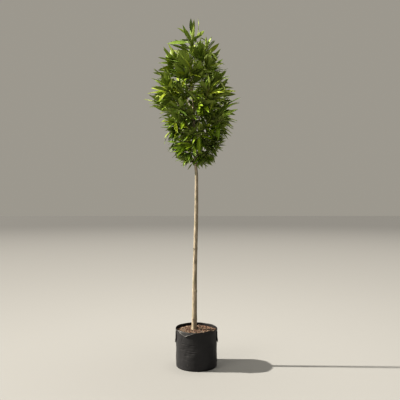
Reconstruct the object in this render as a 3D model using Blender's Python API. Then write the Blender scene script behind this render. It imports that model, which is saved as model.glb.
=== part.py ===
"""A potted standard sweet chestnut: a clear stem with a narrow crown of leafy shoots, in a black growing bag.

Metres, +Z up, +X to the right and +Y to the back. The origin is the centre of the bag's flat underside.
Every limb and every mass of leaves is grown from the sizes below by the rules further down.
"""

import math
import random

import bmesh
import bpy
from mathutils import Matrix, Vector
from mathutils.bvhtree import BVHTree

GAP = 0.0003  # between neighbouring pieces
TINY = 0.00001
UP = Vector((0.0, 0.0, 1.0))
SMOOTH_BELOW = math.radians(40)  # edges that bend less than this are shaded smooth

# Growing bag
BAG_RADIUS = 0.177
BAG_FOOT_RADIUS = 0.168
BAG_CORNER_HEIGHT = 0.022
BAG_CORNER_SHARES = (0.0, 0.08, 0.30, 0.62)  # heights of the foot corner's rings, as shares of the corner's
BAG_HEIGHT = 0.322
BAG_TAPER = 0.002  # how much narrower the wall is over the foot corner than at the rim
BAG_WALL = 0.003
BAG_HEM_HEIGHT = 0.016
BAG_HEM_PROUD = 0.0025
BAG_HEM_ROUNDING = 0.002
BAG_SIDES = 28
RIM_BACK_RISE = 0.002  # the film stands a little higher at the back and at the left
RIM_LEFT_RISE = 0.002

# Compost in the bag
SOIL_TOP = 0.306
SOIL_EDGE_DIP = 0.008
SOIL_MIDDLE_DIP = 0.002
SOIL_FLAT_RADIUS = 0.045
SOIL_CLEARANCE = 0.0009  # between the compost and the film

# Webbing handles, one on each side of the bag
HANDLE_HALF_SPAN = 0.042
HANDLE_TOP = 0.292
HANDLE_BOTTOM = 0.208
HANDLE_WEBBING = 0.024
HANDLE_THICKNESS = 0.0045
HANDLE_SLACK = 0.0026
HANDLE_STEPS = 10

# Trunk: height, offset to the right, offset to the back and radius where its line or its taper changes
TRUNK_STATIONS = (
    (SOIL_TOP + GAP, -0.0196, 0.000, 0.0258),
    (SOIL_TOP + 0.025, -0.0196, 0.000, 0.0236),
    (SOIL_TOP + 0.080, -0.0178, 0.000, 0.0222),
    (0.640, -0.0156, 0.002, 0.0202),
    (0.800, -0.0140, 0.003, 0.0188),
    (1.000, -0.0090, 0.004, 0.0178),
    (1.240, -0.0028, 0.004, 0.0170),
    (1.400, -0.0004, 0.003, 0.0158),
    (1.620, 0.0006, 0.000, 0.0136),
    (1.870, -0.0200, -0.004, 0.0112),
    (2.200, -0.0270, 0.000, 0.0082),
    (2.600, -0.0470, 0.003, 0.0050),
)
TRUNK_RING_STEP = 0.160
TRUNK_SIDES = 10
KNOTS = (0.393, 0.632, 0.995)  # heights of the old branch scars on the clear stem
KNOT_SWELLING = 0.0016
KNOT_HALF_HEIGHT = 0.018
TRUNK_TOP = TRUNK_STATIONS[-1][0]
LEADER_TOP = 2.828  # the leading shoot's own tip, under its last leaves

# Crown: height, and how far the leaves reach there from the trunk's line, to the left and to the right
CROWN_REACH = (
    (1.655, 0.100, 0.095),
    (1.730, 0.175, 0.195),
    (1.800, 0.235, 0.245),
    (1.900, 0.265, 0.310),
    (2.000, 0.270, 0.365),
    (2.060, 0.305, 0.395),
    (2.200, 0.380, 0.420),
    (2.300, 0.445, 0.425),
    (2.420, 0.390, 0.350),
    (2.500, 0.350, 0.330),
    (2.600, 0.310, 0.315),
    (2.700, 0.245, 0.280),
    (2.800, 0.210, 0.205),
    (2.860, 0.145, 0.130),
    (2.930, 0.105, 0.080),
    (2.990, 0.055, 0.060),
)
CROWN_FOOT = CROWN_REACH[0][0]
CROWN_TOP = CROWN_REACH[-1][0]

# Boughs climb the trunk in a spiral, each turned by the golden angle from the last
BOUGHS = 20
GOLDEN_ANGLE = math.radians(137.508)
FIRST_TIP, LAST_TIP = 1.870, 2.700
LOWEST_SPREAD, TOP_SPREAD = math.radians(62), math.radians(28)  # from upright
LEAF_REACH = 0.130  # what the leaves add to a shoot's own reach
BOUGH_SHARE = 0.42  # of a shoot that is bare bough: the rest is the stem of its leaves
BOUGH_THICKNESS = 0.48  # of the trunk where it leaves it
BOUGH_TIP_RADIUS = 0.0042
BOUGH_STEPS = 4
BOUGH_SIDES = 6
BEND_OUT, BEND_UP = 0.56, 0.36  # where a shoot's curve is pulled to, as shares of its reach and of its rise

# Short leafy shoots straight on the trunk, round the crown's foot
FOOT_SPURS = 4
FOOT_SPUR_HEIGHTS = (1.775, 1.715)
SPUR_LENGTH = 0.120
SPUR_SPREAD = math.radians(58)
SPUR_RADIUS = 0.0042
SPUR_SAG = 0.06
FIRST_SPUR_BEARING = math.radians(235)

# The leading shoot: its topmost leaf stands upright, and the next ones soon open out
LEADER_LEAN = 0.007  # to the right
LEADER_RADIUS = 0.0048
LEADER_GAP = 0.0006  # over the trunk's tip, because the two cuts are not quite level
LEADER_FIRST_TURN = 0.0
LEADER_TIP_OPENING = math.radians(8)
LEADER_OPENING_EASE = 4.5

# Twigs and leaves of a mass
SEED = 22
MASS_CENTRE = 0.60  # where along its stem the middle of a mass is
STEM_TIP_RADIUS = 0.0028
STEM_SIDES = 4
STEM_STEPS = 3
TWIG_SIDES = 3
TWIG_RADIUS = 0.0036
TWIG_TIP_RADIUS = 0.0030
TWIG_LENGTHS = (0.110, 0.065)  # of a twig at the stem's foot and at its tip
TWIG_SHARES = (0.06, 0.30, 0.54, 0.78)  # where along the stem a twig leaves it
TWIG_OPENING = math.radians(54)
TWIG_TURNS = 6
STEM_LEAF_STEP = 0.020
STEM_LEAVES_FROM, SPUR_LEAVES_FROM, STEM_LEAVES_TO = 0.14, 0.30, 0.985  # shares of the stem that bear leaves
TWIG_LEAVES = 5
TWIG_LEAVES_FROM, TWIG_LEAVES_TO = 0.30, 0.97
BLADE_LENGTH = 0.195
BLADE_WIDTH_SHARE = 0.29
BLADE_LENGTH_SPREAD = (0.88, 1.10)
BLADE_ROLL = 0.8  # the most that a leaf is rolled to either side
BLADE_SINK = 0.0010  # how far past its twig's middle a leaf starts
BLADE_WIDEST = 0.46
BLADE_KEEL_AT = 0.20
BLADE_KEEL = 0.015
BLADE_ARCH = 0.007
BLADE_DROOP = 0.022
BLADE_FACES = ((0, 2, 1), (1, 2, 4), (0, 1, 3), (0, 3, 2), (1, 4, 3), (2, 3, 4))
WIDEST_OPENING, TIP_OPENING = math.radians(82), math.radians(22)  # between a leaf and its twig
OPENING_EASE = 1.3
OPENING_SPREAD = 0.12
YOUNG_SHARE = 0.80  # size of the youngest leaf at a shoot's tip against a full-grown one
LOWEST_LIFT, TOP_LIFT = -0.95, 0.55  # how much leaves hang at the crown's foot and stand at its top
LEAF_TURNS = (0.0, 0.5, -0.5, 1.0, -1.0, 1.5, -1.5, 2.1, -2.1, 2.7)  # turns for a leaf that has no room
SMALLER_TRIES = (1.0, 0.80, 0.62)  # and sizes
CELL_MARGIN = 0.0008
LIMB_MARGIN = 0.0012
GUARD_TIP_RADIUS = 0.0050

COLOURS = {
    "grow_bag": ((0.022, 0.022, 0.024), 0.45),
    "webbing": ((0.014, 0.014, 0.015), 0.80),
    "compost": ((0.085, 0.055, 0.038), 0.95),
    "bark": ((0.270, 0.225, 0.160), 0.75),
    "young_bark": ((0.170, 0.150, 0.070), 0.65),
    "leaves": ((0.095, 0.190, 0.022), 0.45),
}


def clear_scene():
    for obj in list(bpy.data.objects):
        bpy.data.objects.remove(obj)


def material(name):
    found = bpy.data.materials.get(name)
    if found:
        return found
    colour, roughness = COLOURS[name]
    made = bpy.data.materials.new(name)
    made.use_nodes = True
    shader = made.node_tree.nodes["Principled BSDF"]
    shader.inputs["Base Color"].default_value = (*colour, 1.0)
    shader.inputs["Roughness"].default_value = roughness
    shader.inputs["Metallic"].default_value = 0.0
    return made


def mesh_object(name, bm, finish, smooth=True):
    """Turns a bmesh into a scene object with its faces pointing out."""
    bmesh.ops.recalc_face_normals(bm, faces=bm.faces)
    mesh = bpy.data.meshes.new(name)
    bm.to_mesh(mesh)
    bm.free()
    mesh.materials.append(material(finish))
    if smooth:
        mesh.shade_smooth()
        mesh.set_sharp_from_angle(angle=SMOOTH_BELOW)
    obj = bpy.data.objects.new(name, mesh)
    bpy.context.scene.collection.objects.link(obj)
    return obj


def between(low, high, share):
    return low + (high - low) * share


def read_table(rows, at):
    """The values of a table of (position, values...) at a position, eased between its rows."""
    if at <= rows[0][0]:
        return rows[0][1:]
    for lower, upper in zip(rows, rows[1:]):
        if at <= upper[0]:
            share = (at - lower[0]) / (upper[0] - lower[0])
            return tuple(between(a, b, share) for a, b in zip(lower[1:], upper[1:]))
    return rows[-1][1:]


def crown_reach(height, rightward):
    """The crown's reach at a height, for a direction from fully left (-1) to fully right (1)."""
    left, right = read_table(CROWN_REACH, height)
    return between(left, right, (1 + rightward) / 2)


def trunk_centre(height):
    across, back, _ = read_table(TRUNK_STATIONS, height)
    return Vector((across, back, height))


def trunk_radius(height):
    radius = read_table(TRUNK_STATIONS, height)[2]
    for knot in KNOTS:
        closeness = 1 - abs(height - knot) / KNOT_HALF_HEIGHT
        radius += KNOT_SWELLING * max(0.0, closeness)
    return radius


# Tubes with flat ends


def frames_along(points):
    """Two directions square to the line at each point, turned as little as possible from one to the next."""
    first = (points[1] - points[0]).normalized()
    side = first.cross(UP)
    if side.length < 0.1:
        side = first.cross(Vector((0.0, 1.0, 0.0)))
    side.normalize()
    pairs = []
    for index, _ in enumerate(points):
        before = points[max(index - 1, 0)]
        after = points[min(index + 1, len(points) - 1)]
        ahead = (after - before).normalized()
        side = (side - ahead * side.dot(ahead)).normalized()
        pairs.append((side, ahead.cross(side)))
    return pairs


def tube(points, radii, sides):
    """A closed tapering tube along a line."""
    bm = bmesh.new()
    rings = []
    for point, radius, (side, other) in zip(points, radii, frames_along(points)):
        turns = [2 * math.pi * k / sides for k in range(sides)]
        rings.append(
            [bm.verts.new(point + radius * (math.cos(a) * side + math.sin(a) * other)) for a in turns]
        )
    for lower, upper in zip(rings, rings[1:]):
        for k in range(sides):
            bm.faces.new((lower[k], lower[(k + 1) % sides], upper[(k + 1) % sides], upper[k]))
    bm.faces.new(rings[0])
    bm.faces.new(rings[-1])
    return bm


# Growing bag, compost and handles


def bag_radius(height):
    """The outer radius of the bag's wall: a rounded foot corner, then a wall that opens very slightly."""
    narrowest = BAG_RADIUS - BAG_TAPER
    if height < BAG_CORNER_HEIGHT:
        share = 1 - height / BAG_CORNER_HEIGHT
        return between(BAG_FOOT_RADIUS, narrowest, math.sqrt(1 - share * share))
    share = (height - BAG_CORNER_HEIGHT) / (BAG_HEIGHT - BAG_CORNER_HEIGHT)
    return between(narrowest, BAG_RADIUS, share)


def lathe(profile, sides):
    """Spins a profile of (radius, height) points and closes both of its ends with a flat disc."""
    bm = bmesh.new()
    corners = [bm.verts.new((radius, 0.0, height)) for radius, height in profile]
    edges = [bm.edges.new(pair) for pair in zip(corners, corners[1:])]
    bmesh.ops.spin(
        bm,
        geom=corners + edges,
        cent=(0.0, 0.0, 0.0),
        axis=(0.0, 0.0, 1.0),
        angle=2 * math.pi,
        steps=sides,
        use_merge=True,
    )
    bmesh.ops.remove_doubles(bm, verts=bm.verts, dist=TINY)
    bmesh.ops.holes_fill(bm, edges=[edge for edge in bm.edges if edge.is_boundary], sides=0)
    return bm


def wall_heights(top):
    """Heights of the wall's rings from the foot corner up."""
    corner = [BAG_CORNER_HEIGHT * share for share in BAG_CORNER_SHARES]
    return [*corner, BAG_CORNER_HEIGHT, (BAG_CORNER_HEIGHT + top) / 2, top]


def lining(depth, top):
    """The wall's profile moved inwards by a depth, and up by it in the foot corner."""
    profile = []
    for height in wall_heights(top):
        lift = depth if height < BAG_CORNER_HEIGHT else 0.0
        profile.append((bag_radius(height) - depth, height + lift))
    return profile


def rim_rise(bearing):
    return RIM_BACK_RISE * math.sin(bearing) - RIM_LEFT_RISE * math.cos(bearing)


def make_bag():
    hem_foot = BAG_HEIGHT - BAG_HEM_HEIGHT
    outside = [(bag_radius(height), height) for height in wall_heights(hem_foot)]
    hem = [
        (bag_radius(hem_foot) + BAG_HEM_PROUD, hem_foot + BAG_HEM_ROUNDING),
        (BAG_RADIUS + BAG_HEM_PROUD, BAG_HEIGHT - BAG_HEM_ROUNDING),
        (BAG_RADIUS + BAG_HEM_PROUD - BAG_HEM_ROUNDING, BAG_HEIGHT),
        (BAG_RADIUS - BAG_WALL, BAG_HEIGHT),
    ]
    inside = lining(BAG_WALL, hem_foot)[::-1]
    bm = lathe([*outside, *hem, *inside], BAG_SIDES)
    for vert in bm.verts:
        share = max(0.0, (vert.co.z - hem_foot + BAG_HEM_HEIGHT) / (2 * BAG_HEM_HEIGHT))
        vert.co.z += share * rim_rise(math.atan2(vert.co.y, vert.co.x))
    return mesh_object("grow_bag", bm, "grow_bag")


def make_compost():
    side = lining(BAG_WALL + SOIL_CLEARANCE, SOIL_TOP - SOIL_EDGE_DIP)
    top = [(SOIL_FLAT_RADIUS * 2, SOIL_TOP - SOIL_MIDDLE_DIP), (SOIL_FLAT_RADIUS, SOIL_TOP)]
    return mesh_object("compost", lathe([*side, *top], BAG_SIDES), "compost")


def handle_line():
    """The middle of the webbing as (arc along the wall, height), down one leg, round and up the other."""
    line = [(-HANDLE_HALF_SPAN, HANDLE_TOP)]
    for k in range(HANDLE_STEPS + 1):
        turn = math.pi + math.pi * k / HANDLE_STEPS
        line.append(
            (
                HANDLE_HALF_SPAN * math.cos(turn),
                HANDLE_BOTTOM + HANDLE_HALF_SPAN * (1 + math.sin(turn)),
            )
        )
    line.append((HANDLE_HALF_SPAN, HANDLE_TOP))
    return line


def make_handle(name, bearing):
    """A loop of webbing that hangs from under the hem and lies along the wall, a little slack at its foot."""
    bm = bmesh.new()
    line = handle_line()
    rings = []
    for index, (along, height) in enumerate(line):
        before = Vector(line[max(index - 1, 0)])
        after = Vector(line[min(index + 1, len(line) - 1)])
        ahead = (after - before).normalized()
        across = Vector((-ahead.y, ahead.x)) * HANDLE_WEBBING / 2
        slack = HANDLE_SLACK * (HANDLE_TOP - height) / (HANDLE_TOP - HANDLE_BOTTOM)
        ring = []
        for way, lift in ((-1, 0.0), (1, 0.0), (1, HANDLE_THICKNESS), (-1, HANDLE_THICKNESS)):
            arc = along + way * across.x
            level = height + way * across.y
            radius = BAG_RADIUS + GAP + slack + lift
            angle = bearing + arc / BAG_RADIUS
            ring.append(bm.verts.new((radius * math.cos(angle), radius * math.sin(angle), level)))
        rings.append(ring)
    for first, second in zip(rings, rings[1:]):
        for k in range(4):
            bm.faces.new((first[k], first[(k + 1) % 4], second[(k + 1) % 4], second[k]))
    bm.faces.new(rings[0])
    bm.faces.new(rings[-1])
    return mesh_object(name, bm, "webbing")


# Trunk


def trunk_rings(extra=0.0):
    """Points and radii of the trunk's rings: at its stations, at even steps between them and at its knots."""
    heights = {station[0] for station in TRUNK_STATIONS}
    steps = math.ceil((TRUNK_TOP - SOIL_TOP) / TRUNK_RING_STEP)
    stations = sorted(heights)
    for k in range(1, steps):
        height = between(SOIL_TOP, TRUNK_TOP, k / steps)
        if min(abs(height - other) for other in stations) > TRUNK_RING_STEP / 3:
            heights.add(height)
    heights |= {knot + way * KNOT_HALF_HEIGHT for knot in KNOTS for way in (-1, 0, 1)}
    ordered = sorted(heights)
    points = [trunk_centre(height) for height in ordered]
    return points, [trunk_radius(height) + extra for height in ordered]


def make_trunk():
    points, radii = trunk_rings()
    return mesh_object("trunk", tube(points, radii, TRUNK_SIDES), "bark")


def make_trunk_clearance():
    """A slightly thicker trunk that cuts the feet of the boughs and of the shoots on the trunk."""
    points, radii = trunk_rings(GAP)
    cutter = mesh_object("trunk_clearance", tube(points, radii, TRUNK_SIDES), "bark", smooth=False)
    cutter.hide_render = True
    cutter.display_type = "WIRE"
    return cutter


def cut_by_trunk(obj, cutter):
    cut = obj.modifiers.new("foot on the trunk", "BOOLEAN")
    cut.operation = "DIFFERENCE"
    cut.solver = "EXACT"
    cut.object = cutter


# Shoots: each is a curve from the trunk to its tip


class Shoot:
    """One curve that leaves the trunk low and turns up towards its tip, with the thickness at its foot."""

    def __init__(self, name, start, tip, bend, radius):
        self.name = name
        self.start = start
        self.tip = tip
        self.bend = bend
        self.radius = radius

    def at(self, share):
        return (
            self.start * (1 - share) ** 2
            + self.bend * 2 * share * (1 - share)
            + self.tip * share**2
        )

    def points(self, low, high, steps):
        return [self.at(between(low, high, k / steps)) for k in range(steps + 1)]


def bough_shoot(index):
    share = index / (BOUGHS - 1)
    tip_height = between(FIRST_TIP, LAST_TIP, share)
    bearing = index * GOLDEN_ANGLE
    reach = crown_reach(tip_height, math.cos(bearing)) - LEAF_REACH
    rise = reach / math.tan(between(LOWEST_SPREAD, TOP_SPREAD, share))
    start = trunk_centre(tip_height - rise)
    out = Vector((math.cos(bearing), math.sin(bearing), 0.0))
    tip = start + out * reach + UP * rise
    bend = start + out * reach * BEND_OUT + UP * rise * BEND_UP
    return Shoot(f"{index + 1:02d}", start, tip, bend, trunk_radius(start.z) * BOUGH_THICKNESS)


def spur_shoot(name, height, bearing):
    start = trunk_centre(height)
    out = Vector((math.cos(bearing), math.sin(bearing), 0.0))
    tip = start + SPUR_LENGTH * (out * math.sin(SPUR_SPREAD) + UP * math.cos(SPUR_SPREAD))
    bend = (start + tip) / 2 + out * SPUR_LENGTH * SPUR_SAG
    return Shoot(name, start, tip, bend, SPUR_RADIUS)


def spur_shoots():
    made = []
    for k in range(FOOT_SPURS):
        bearing = FIRST_SPUR_BEARING + 2 * math.pi * k / FOOT_SPURS
        height = FOOT_SPUR_HEIGHTS[k % len(FOOT_SPUR_HEIGHTS)]
        made.append(spur_shoot(f"foot_{k + 1}", height, bearing))
    return made


def leader_shoot():
    start = trunk_centre(TRUNK_TOP) + UP * LEADER_GAP
    tip = Vector((start.x + LEADER_LEAN, start.y, LEADER_TOP))
    return Shoot("leader", start, tip, (start + tip) / 2, LEADER_RADIUS)


def make_bough(shoot, cutter):
    points = shoot.points(0.0, BOUGH_SHARE, BOUGH_STEPS)
    radii = [between(shoot.radius, BOUGH_TIP_RADIUS, k / BOUGH_STEPS) for k in range(BOUGH_STEPS + 1)]
    bough = mesh_object(f"bough_{shoot.name}", tube(points, radii, BOUGH_SIDES), "young_bark")
    cut_by_trunk(bough, cutter)
    return bough


# Masses of leaves


def square_to(direction, toward):
    """The part of one direction that is square to another, at unit length."""
    rest = toward - direction * toward.dot(direction)
    if rest.length < TINY:
        rest = direction.orthogonal()
    return rest.normalized()


def place_on(line, share):
    """The point at a share of a line, and the way the line runs there."""
    place = share * (len(line) - 1)
    index = min(int(place), len(line) - 2)
    slope = (line[index + 1] - line[index]).normalized()
    return line[index].lerp(line[index + 1], place - index), slope


def blade_points(root, heading, face, length):
    """The five corners of a leaf: root, widest place left and right, the keel under it, and tip."""
    side = heading.cross(face) * length * BLADE_WIDTH_SHARE / 2
    middle = root + (heading * BLADE_WIDEST + face * BLADE_ARCH) * length
    return [
        root - heading * BLADE_SINK,
        middle + side,
        middle - side,
        root + (heading * BLADE_KEEL_AT - face * BLADE_KEEL) * length,
        root + (heading - face * BLADE_DROOP) * length,
    ]


def blade_mesh(points):
    bm = bmesh.new()
    corners = [bm.verts.new(point) for point in points]
    for face in BLADE_FACES:
        bm.faces.new([corners[k] for k in face])
    return bm


class Solid:
    """Something a leaf must not touch, with a box around it for a quick look first."""

    def __init__(self, points, faces):
        self.low = [min(point[k] for point in points) for k in range(3)]
        self.high = [max(point[k] for point in points) for k in range(3)]
        self.tree = BVHTree.FromPolygons(points, faces)

    def meets(self, other):
        for k in range(3):
            if self.low[k] > other.high[k] or other.low[k] > self.high[k]:
                return False
        return bool(self.tree.overlap(other.tree))


def solid_of(bm):
    bm.verts.index_update()
    points = [vert.co.copy() for vert in bm.verts]
    return Solid(points, [[vert.index for vert in face.verts] for face in bm.faces])


class Mass:
    """The twigs and leaves of one shoot, which keep to what is nearer to its centre than to any other's."""

    def __init__(self, shoot, low, sites, guards):
        self.shoot = shoot
        self.low = low
        self.centre = mass_centre(shoot, low)
        self.walls = []
        for site in sites:
            across = site - self.centre
            if across.length > TINY:
                self.walls.append((across.normalized(), across.length / 2 - CELL_MARGIN))
        self.guards = guards
        self.random = random.Random(f"{SEED} {shoot.name}")
        self.turn = self.random.uniform(0, 2 * math.pi)
        self.tip_opening = TIP_OPENING
        self.opening_ease = OPENING_EASE
        self.blades = []
        self.blade_corners = []
        self.twigs = []

    def stand_upright(self):
        """Makes this the leading shoot's mass."""
        self.turn = LEADER_FIRST_TURN
        self.tip_opening = LEADER_TIP_OPENING
        self.opening_ease = LEADER_OPENING_EASE

    def keeps_in(self, points):
        """Whether points, and so all that is between them, lie on this mass's side of its boundaries."""
        for point in points:
            away = point - self.centre
            if any(away.dot(across) > limit for across, limit in self.walls):
                return False
        return all(within_crown(point) for point in points)

    def fits(self, points):
        if not self.keeps_in(points):
            return False
        solid = Solid(points, BLADE_FACES)
        if any(solid.meets(other) for other in self.guards + self.blades):
            return False
        self.blades.append(solid)
        self.blade_corners.append(points)
        return True

    def grow_leaf(self, line, share, full_length):
        """Puts a leaf on a stem or twig, turned on by the golden angle from the last one."""
        self.turn += GOLDEN_ANGLE
        root, slope = place_on(line, share)
        upward = square_to(slope, UP)
        opening = between(WIDEST_OPENING, self.tip_opening, share**self.opening_ease)
        opening += self.random.uniform(-OPENING_SPREAD, OPENING_SPREAD)
        crown_share = (root.z - CROWN_FOOT) / (CROWN_TOP - CROWN_FOOT)
        lift = between(LOWEST_LIFT, TOP_LIFT, crown_share)
        roll = self.random.uniform(-BLADE_ROLL, BLADE_ROLL)
        length = full_length * self.random.uniform(*BLADE_LENGTH_SPREAD)
        for smaller in SMALLER_TRIES:
            for turn in LEAF_TURNS:
                side = Matrix.Rotation(self.turn + turn, 3, slope) @ upward
                heading = slope * math.cos(opening) + side * math.sin(opening)
                heading.z += lift
                heading.normalize()
                face = square_to(heading, slope + UP)
                face.rotate(Matrix.Rotation(roll, 3, heading))
                if self.fits(blade_points(root, heading, face, length * smaller)):
                    return

    def grow_twig(self, stem, share):
        """A side twig, turned on along the stem until it has room."""
        root, slope = place_on(stem, share)
        upward = square_to(slope, UP)
        length = between(*TWIG_LENGTHS, share)
        self.turn += GOLDEN_ANGLE
        for attempt in range(TWIG_TURNS):
            side = Matrix.Rotation(self.turn + attempt, 3, slope) @ upward
            heading = slope * math.cos(TWIG_OPENING) + side * math.sin(TWIG_OPENING)
            twig = [root, root + heading * length]
            bm = tube(twig, (TWIG_RADIUS, TWIG_TIP_RADIUS), TWIG_SIDES)
            solid = solid_of(bm)
            if self.keeps_in(twig) and not any(solid.meets(guard) for guard in self.guards):
                self.twigs.append(twig)
                return bm
            bm.free()
        return None

    def grow(self):
        """The stem, its twigs and all of their leaves, as a list of closed bmeshes with the stem first."""
        stem = self.shoot.points(self.low, 1.0, STEM_STEPS)
        first_radius = self.shoot.radius
        leaves_from = SPUR_LEAVES_FROM
        if self.low > 0:
            stem[0] += (stem[1] - stem[0]).normalized() * GAP
            first_radius = BOUGH_TIP_RADIUS
            leaves_from = STEM_LEAVES_FROM
        length = sum((b - a).length for a, b in zip(stem, stem[1:]))
        radii = [between(first_radius, STEM_TIP_RADIUS, k / STEM_STEPS) for k in range(STEM_STEPS + 1)]
        pieces = [tube(stem, radii, STEM_SIDES)]
        for share in TWIG_SHARES:
            twig = self.grow_twig(stem, share)
            if twig:
                pieces.append(twig)
        count = max(5, round(length / STEM_LEAF_STEP))
        for k in reversed(range(count)):
            share = between(leaves_from, STEM_LEAVES_TO, k / (count - 1))
            self.grow_leaf(stem, share, BLADE_LENGTH * between(1.0, YOUNG_SHARE, share**3))
        for twig in self.twigs:
            for k in reversed(range(TWIG_LEAVES)):
                share = between(TWIG_LEAVES_FROM, TWIG_LEAVES_TO, k / (TWIG_LEAVES - 1))
                self.grow_leaf(twig, share, BLADE_LENGTH * between(1.0, YOUNG_SHARE, share**3))
        return pieces + [blade_mesh(points) for points in self.blade_corners]


def within_crown(point):
    if not CROWN_FOOT <= point.z <= CROWN_TOP:
        return False
    away = point - trunk_centre(min(point.z, TRUNK_TOP))
    distance = max(math.hypot(away.x, away.y), TINY)
    return distance <= crown_reach(point.z, away.x / distance)


def mass_centre(shoot, low):
    return shoot.at(between(low, 1.0, MASS_CENTRE))


def fuse(name, pieces, cutter=None):
    """Joins the pieces of one mass into a single closed solid."""
    stem = mesh_object(name, pieces[0], "leaves", smooth=False)
    if cutter:
        cut_by_trunk(stem, cutter)
    group = bpy.data.collections.new(name + "_pieces")
    bpy.context.scene.collection.children.link(group)
    for number, bm in enumerate(pieces[1:]):
        piece = mesh_object(f"{name}_piece_{number}", bm, "leaves", smooth=False)
        bpy.context.scene.collection.objects.unlink(piece)
        group.objects.link(piece)
    union = stem.modifiers.new("leaves fused on", "BOOLEAN")
    union.operation = "UNION"
    union.operand_type = "COLLECTION"
    union.collection = group
    union.solver = "EXACT"
    bpy.context.view_layer.update()
    fused = bpy.data.meshes.new_from_object(stem.evaluated_get(bpy.context.evaluated_depsgraph_get()))
    stem.modifiers.clear()
    stem.data = fused
    fused.materials.clear()
    fused.materials.append(material("leaves"))
    for piece in list(group.objects):
        bpy.data.objects.remove(piece)
    bpy.data.collections.remove(group)
    return stem


def limb_guard(points, radii, sides):
    bm = tube(points, [radius + LIMB_MARGIN for radius in radii], sides)
    guard = solid_of(bm)
    bm.free()
    return guard


def make_crown():
    cutter = make_trunk_clearance()
    boughs = [bough_shoot(index) for index in range(BOUGHS)]
    spurs = spur_shoots()
    leader = leader_shoot()
    shoots = [(shoot, BOUGH_SHARE) for shoot in boughs] + [(shoot, 0.0) for shoot in [*spurs, leader]]
    sites = [mass_centre(shoot, low) for shoot, low in shoots]

    points, radii = trunk_rings()
    trunk_guard = limb_guard(points, radii, TRUNK_SIDES)
    bough_guards = []
    for shoot in boughs:
        make_bough(shoot, cutter)
        line = shoot.points(0.0, BOUGH_SHARE, BOUGH_STEPS)
        radii = [shoot.radius, *[GUARD_TIP_RADIUS] * BOUGH_STEPS]
        bough_guards.append(limb_guard(line, radii, BOUGH_SIDES))
    stem_guards = {}
    for shoot, low in shoots:
        line = shoot.points(low, 1.0, STEM_STEPS)
        stem_guards[shoot.name] = limb_guard(line, [SPUR_RADIUS] * len(line), BOUGH_SIDES)

    leaf_count = 0
    for shoot, low in shoots:
        own_foot = [trunk_guard] if shoot is not leader else []
        others = [guard for name, guard in stem_guards.items() if name != shoot.name]
        mass = Mass(shoot, low, sites, own_foot + bough_guards + others)
        if shoot is leader:
            mass.stand_upright()
        pieces = mass.grow()
        on_trunk = low == 0 and shoot is not leader
        fuse(f"foliage_{shoot.name}", pieces, cutter if on_trunk else None)
        leaf_count += len(mass.blades)
        print(f"foliage_{shoot.name}: {len(mass.twigs)} twigs, {len(mass.blades)} leaves")
    print(f"{leaf_count} leaves in {len(shoots)} masses")


def main():
    clear_scene()
    make_bag()
    make_compost()
    make_handle("bag_handle_right", 0.0)
    make_handle("bag_handle_left", math.pi)
    make_trunk()
    make_crown()


main()
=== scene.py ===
# %% [markdown]
# # A young sweet chestnut in a growing bag
# The tree is a standard: one clean stem under a narrow crown of long toothed leaves, in a black bag of
# compost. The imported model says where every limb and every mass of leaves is, in metres, with the
# origin under the middle of the bag. This script leaves those solids alone and builds what is seen
# round them: bark with its relief, creased film, loose compost, and leaves with teeth and veins.

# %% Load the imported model
import random
from math import ceil, cos, degrees, exp, hypot, pi, radians, sin, sqrt, tan

import bpy
import numpy as np
from mathutils import Matrix, Vector, noise
from mathutils.bvhtree import BVHTree


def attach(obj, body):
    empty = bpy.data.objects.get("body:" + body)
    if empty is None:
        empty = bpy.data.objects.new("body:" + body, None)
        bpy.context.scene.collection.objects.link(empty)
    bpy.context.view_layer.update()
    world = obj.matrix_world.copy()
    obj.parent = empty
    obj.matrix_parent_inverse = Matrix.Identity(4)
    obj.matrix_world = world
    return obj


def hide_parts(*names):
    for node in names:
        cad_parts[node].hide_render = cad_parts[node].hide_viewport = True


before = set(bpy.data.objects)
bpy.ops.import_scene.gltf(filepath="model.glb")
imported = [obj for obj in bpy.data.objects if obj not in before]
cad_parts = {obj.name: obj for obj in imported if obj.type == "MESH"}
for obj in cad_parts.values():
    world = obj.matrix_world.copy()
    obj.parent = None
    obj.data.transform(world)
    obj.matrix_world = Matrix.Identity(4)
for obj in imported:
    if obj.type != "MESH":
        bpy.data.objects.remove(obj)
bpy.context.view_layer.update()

BODY = "root"
MM = 0.001  # a millimetre, in metres
FULL_TURN = 2 * pi
UP = Vector((0.0, 0.0, 1.0))
scene = bpy.context.scene

# %% [markdown]
# ## Camera
# The photograph was taken from a good four metres away, with the lens level and at half the tree's
# height, so upright lines stay upright. A camera that is turned down by a quarter circle from its rest
# looks level along +Y. The focal length comes from the frame's width, in pixels of the photograph.

# %% Camera
PHOTO_WIDTH = 400
FOCAL_PIXELS = 500
SENSOR_WIDTH = 36.0
CAMERA_PLACE = (0.030, -4.270, 1.410)

camera_data = bpy.data.cameras.new("level_camera")
camera_data.sensor_width = SENSOR_WIDTH
camera_data.lens = SENSOR_WIDTH * FOCAL_PIXELS / PHOTO_WIDTH
camera = bpy.data.objects.new("level_camera", camera_data)
camera.location = CAMERA_PLACE
camera.rotation_euler = (pi / 2, 0, 0)
scene.collection.objects.link(camera)
scene.camera = camera
print("lens", round(camera_data.lens, 1), "mm")

# %% [markdown]
# ## Light and floor
# In the photograph a low sun stands to the left and a touch behind the tree: the stem and the bag are
# bright on their left half and dark on the right. One warm key light does that here. A pale sky all
# round and one soft light at the front left fill the shade, as reflectors would in a studio. A soft box
# hangs over the crown, because what makes leaves look glossy is a wide pale thing to mirror.

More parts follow.
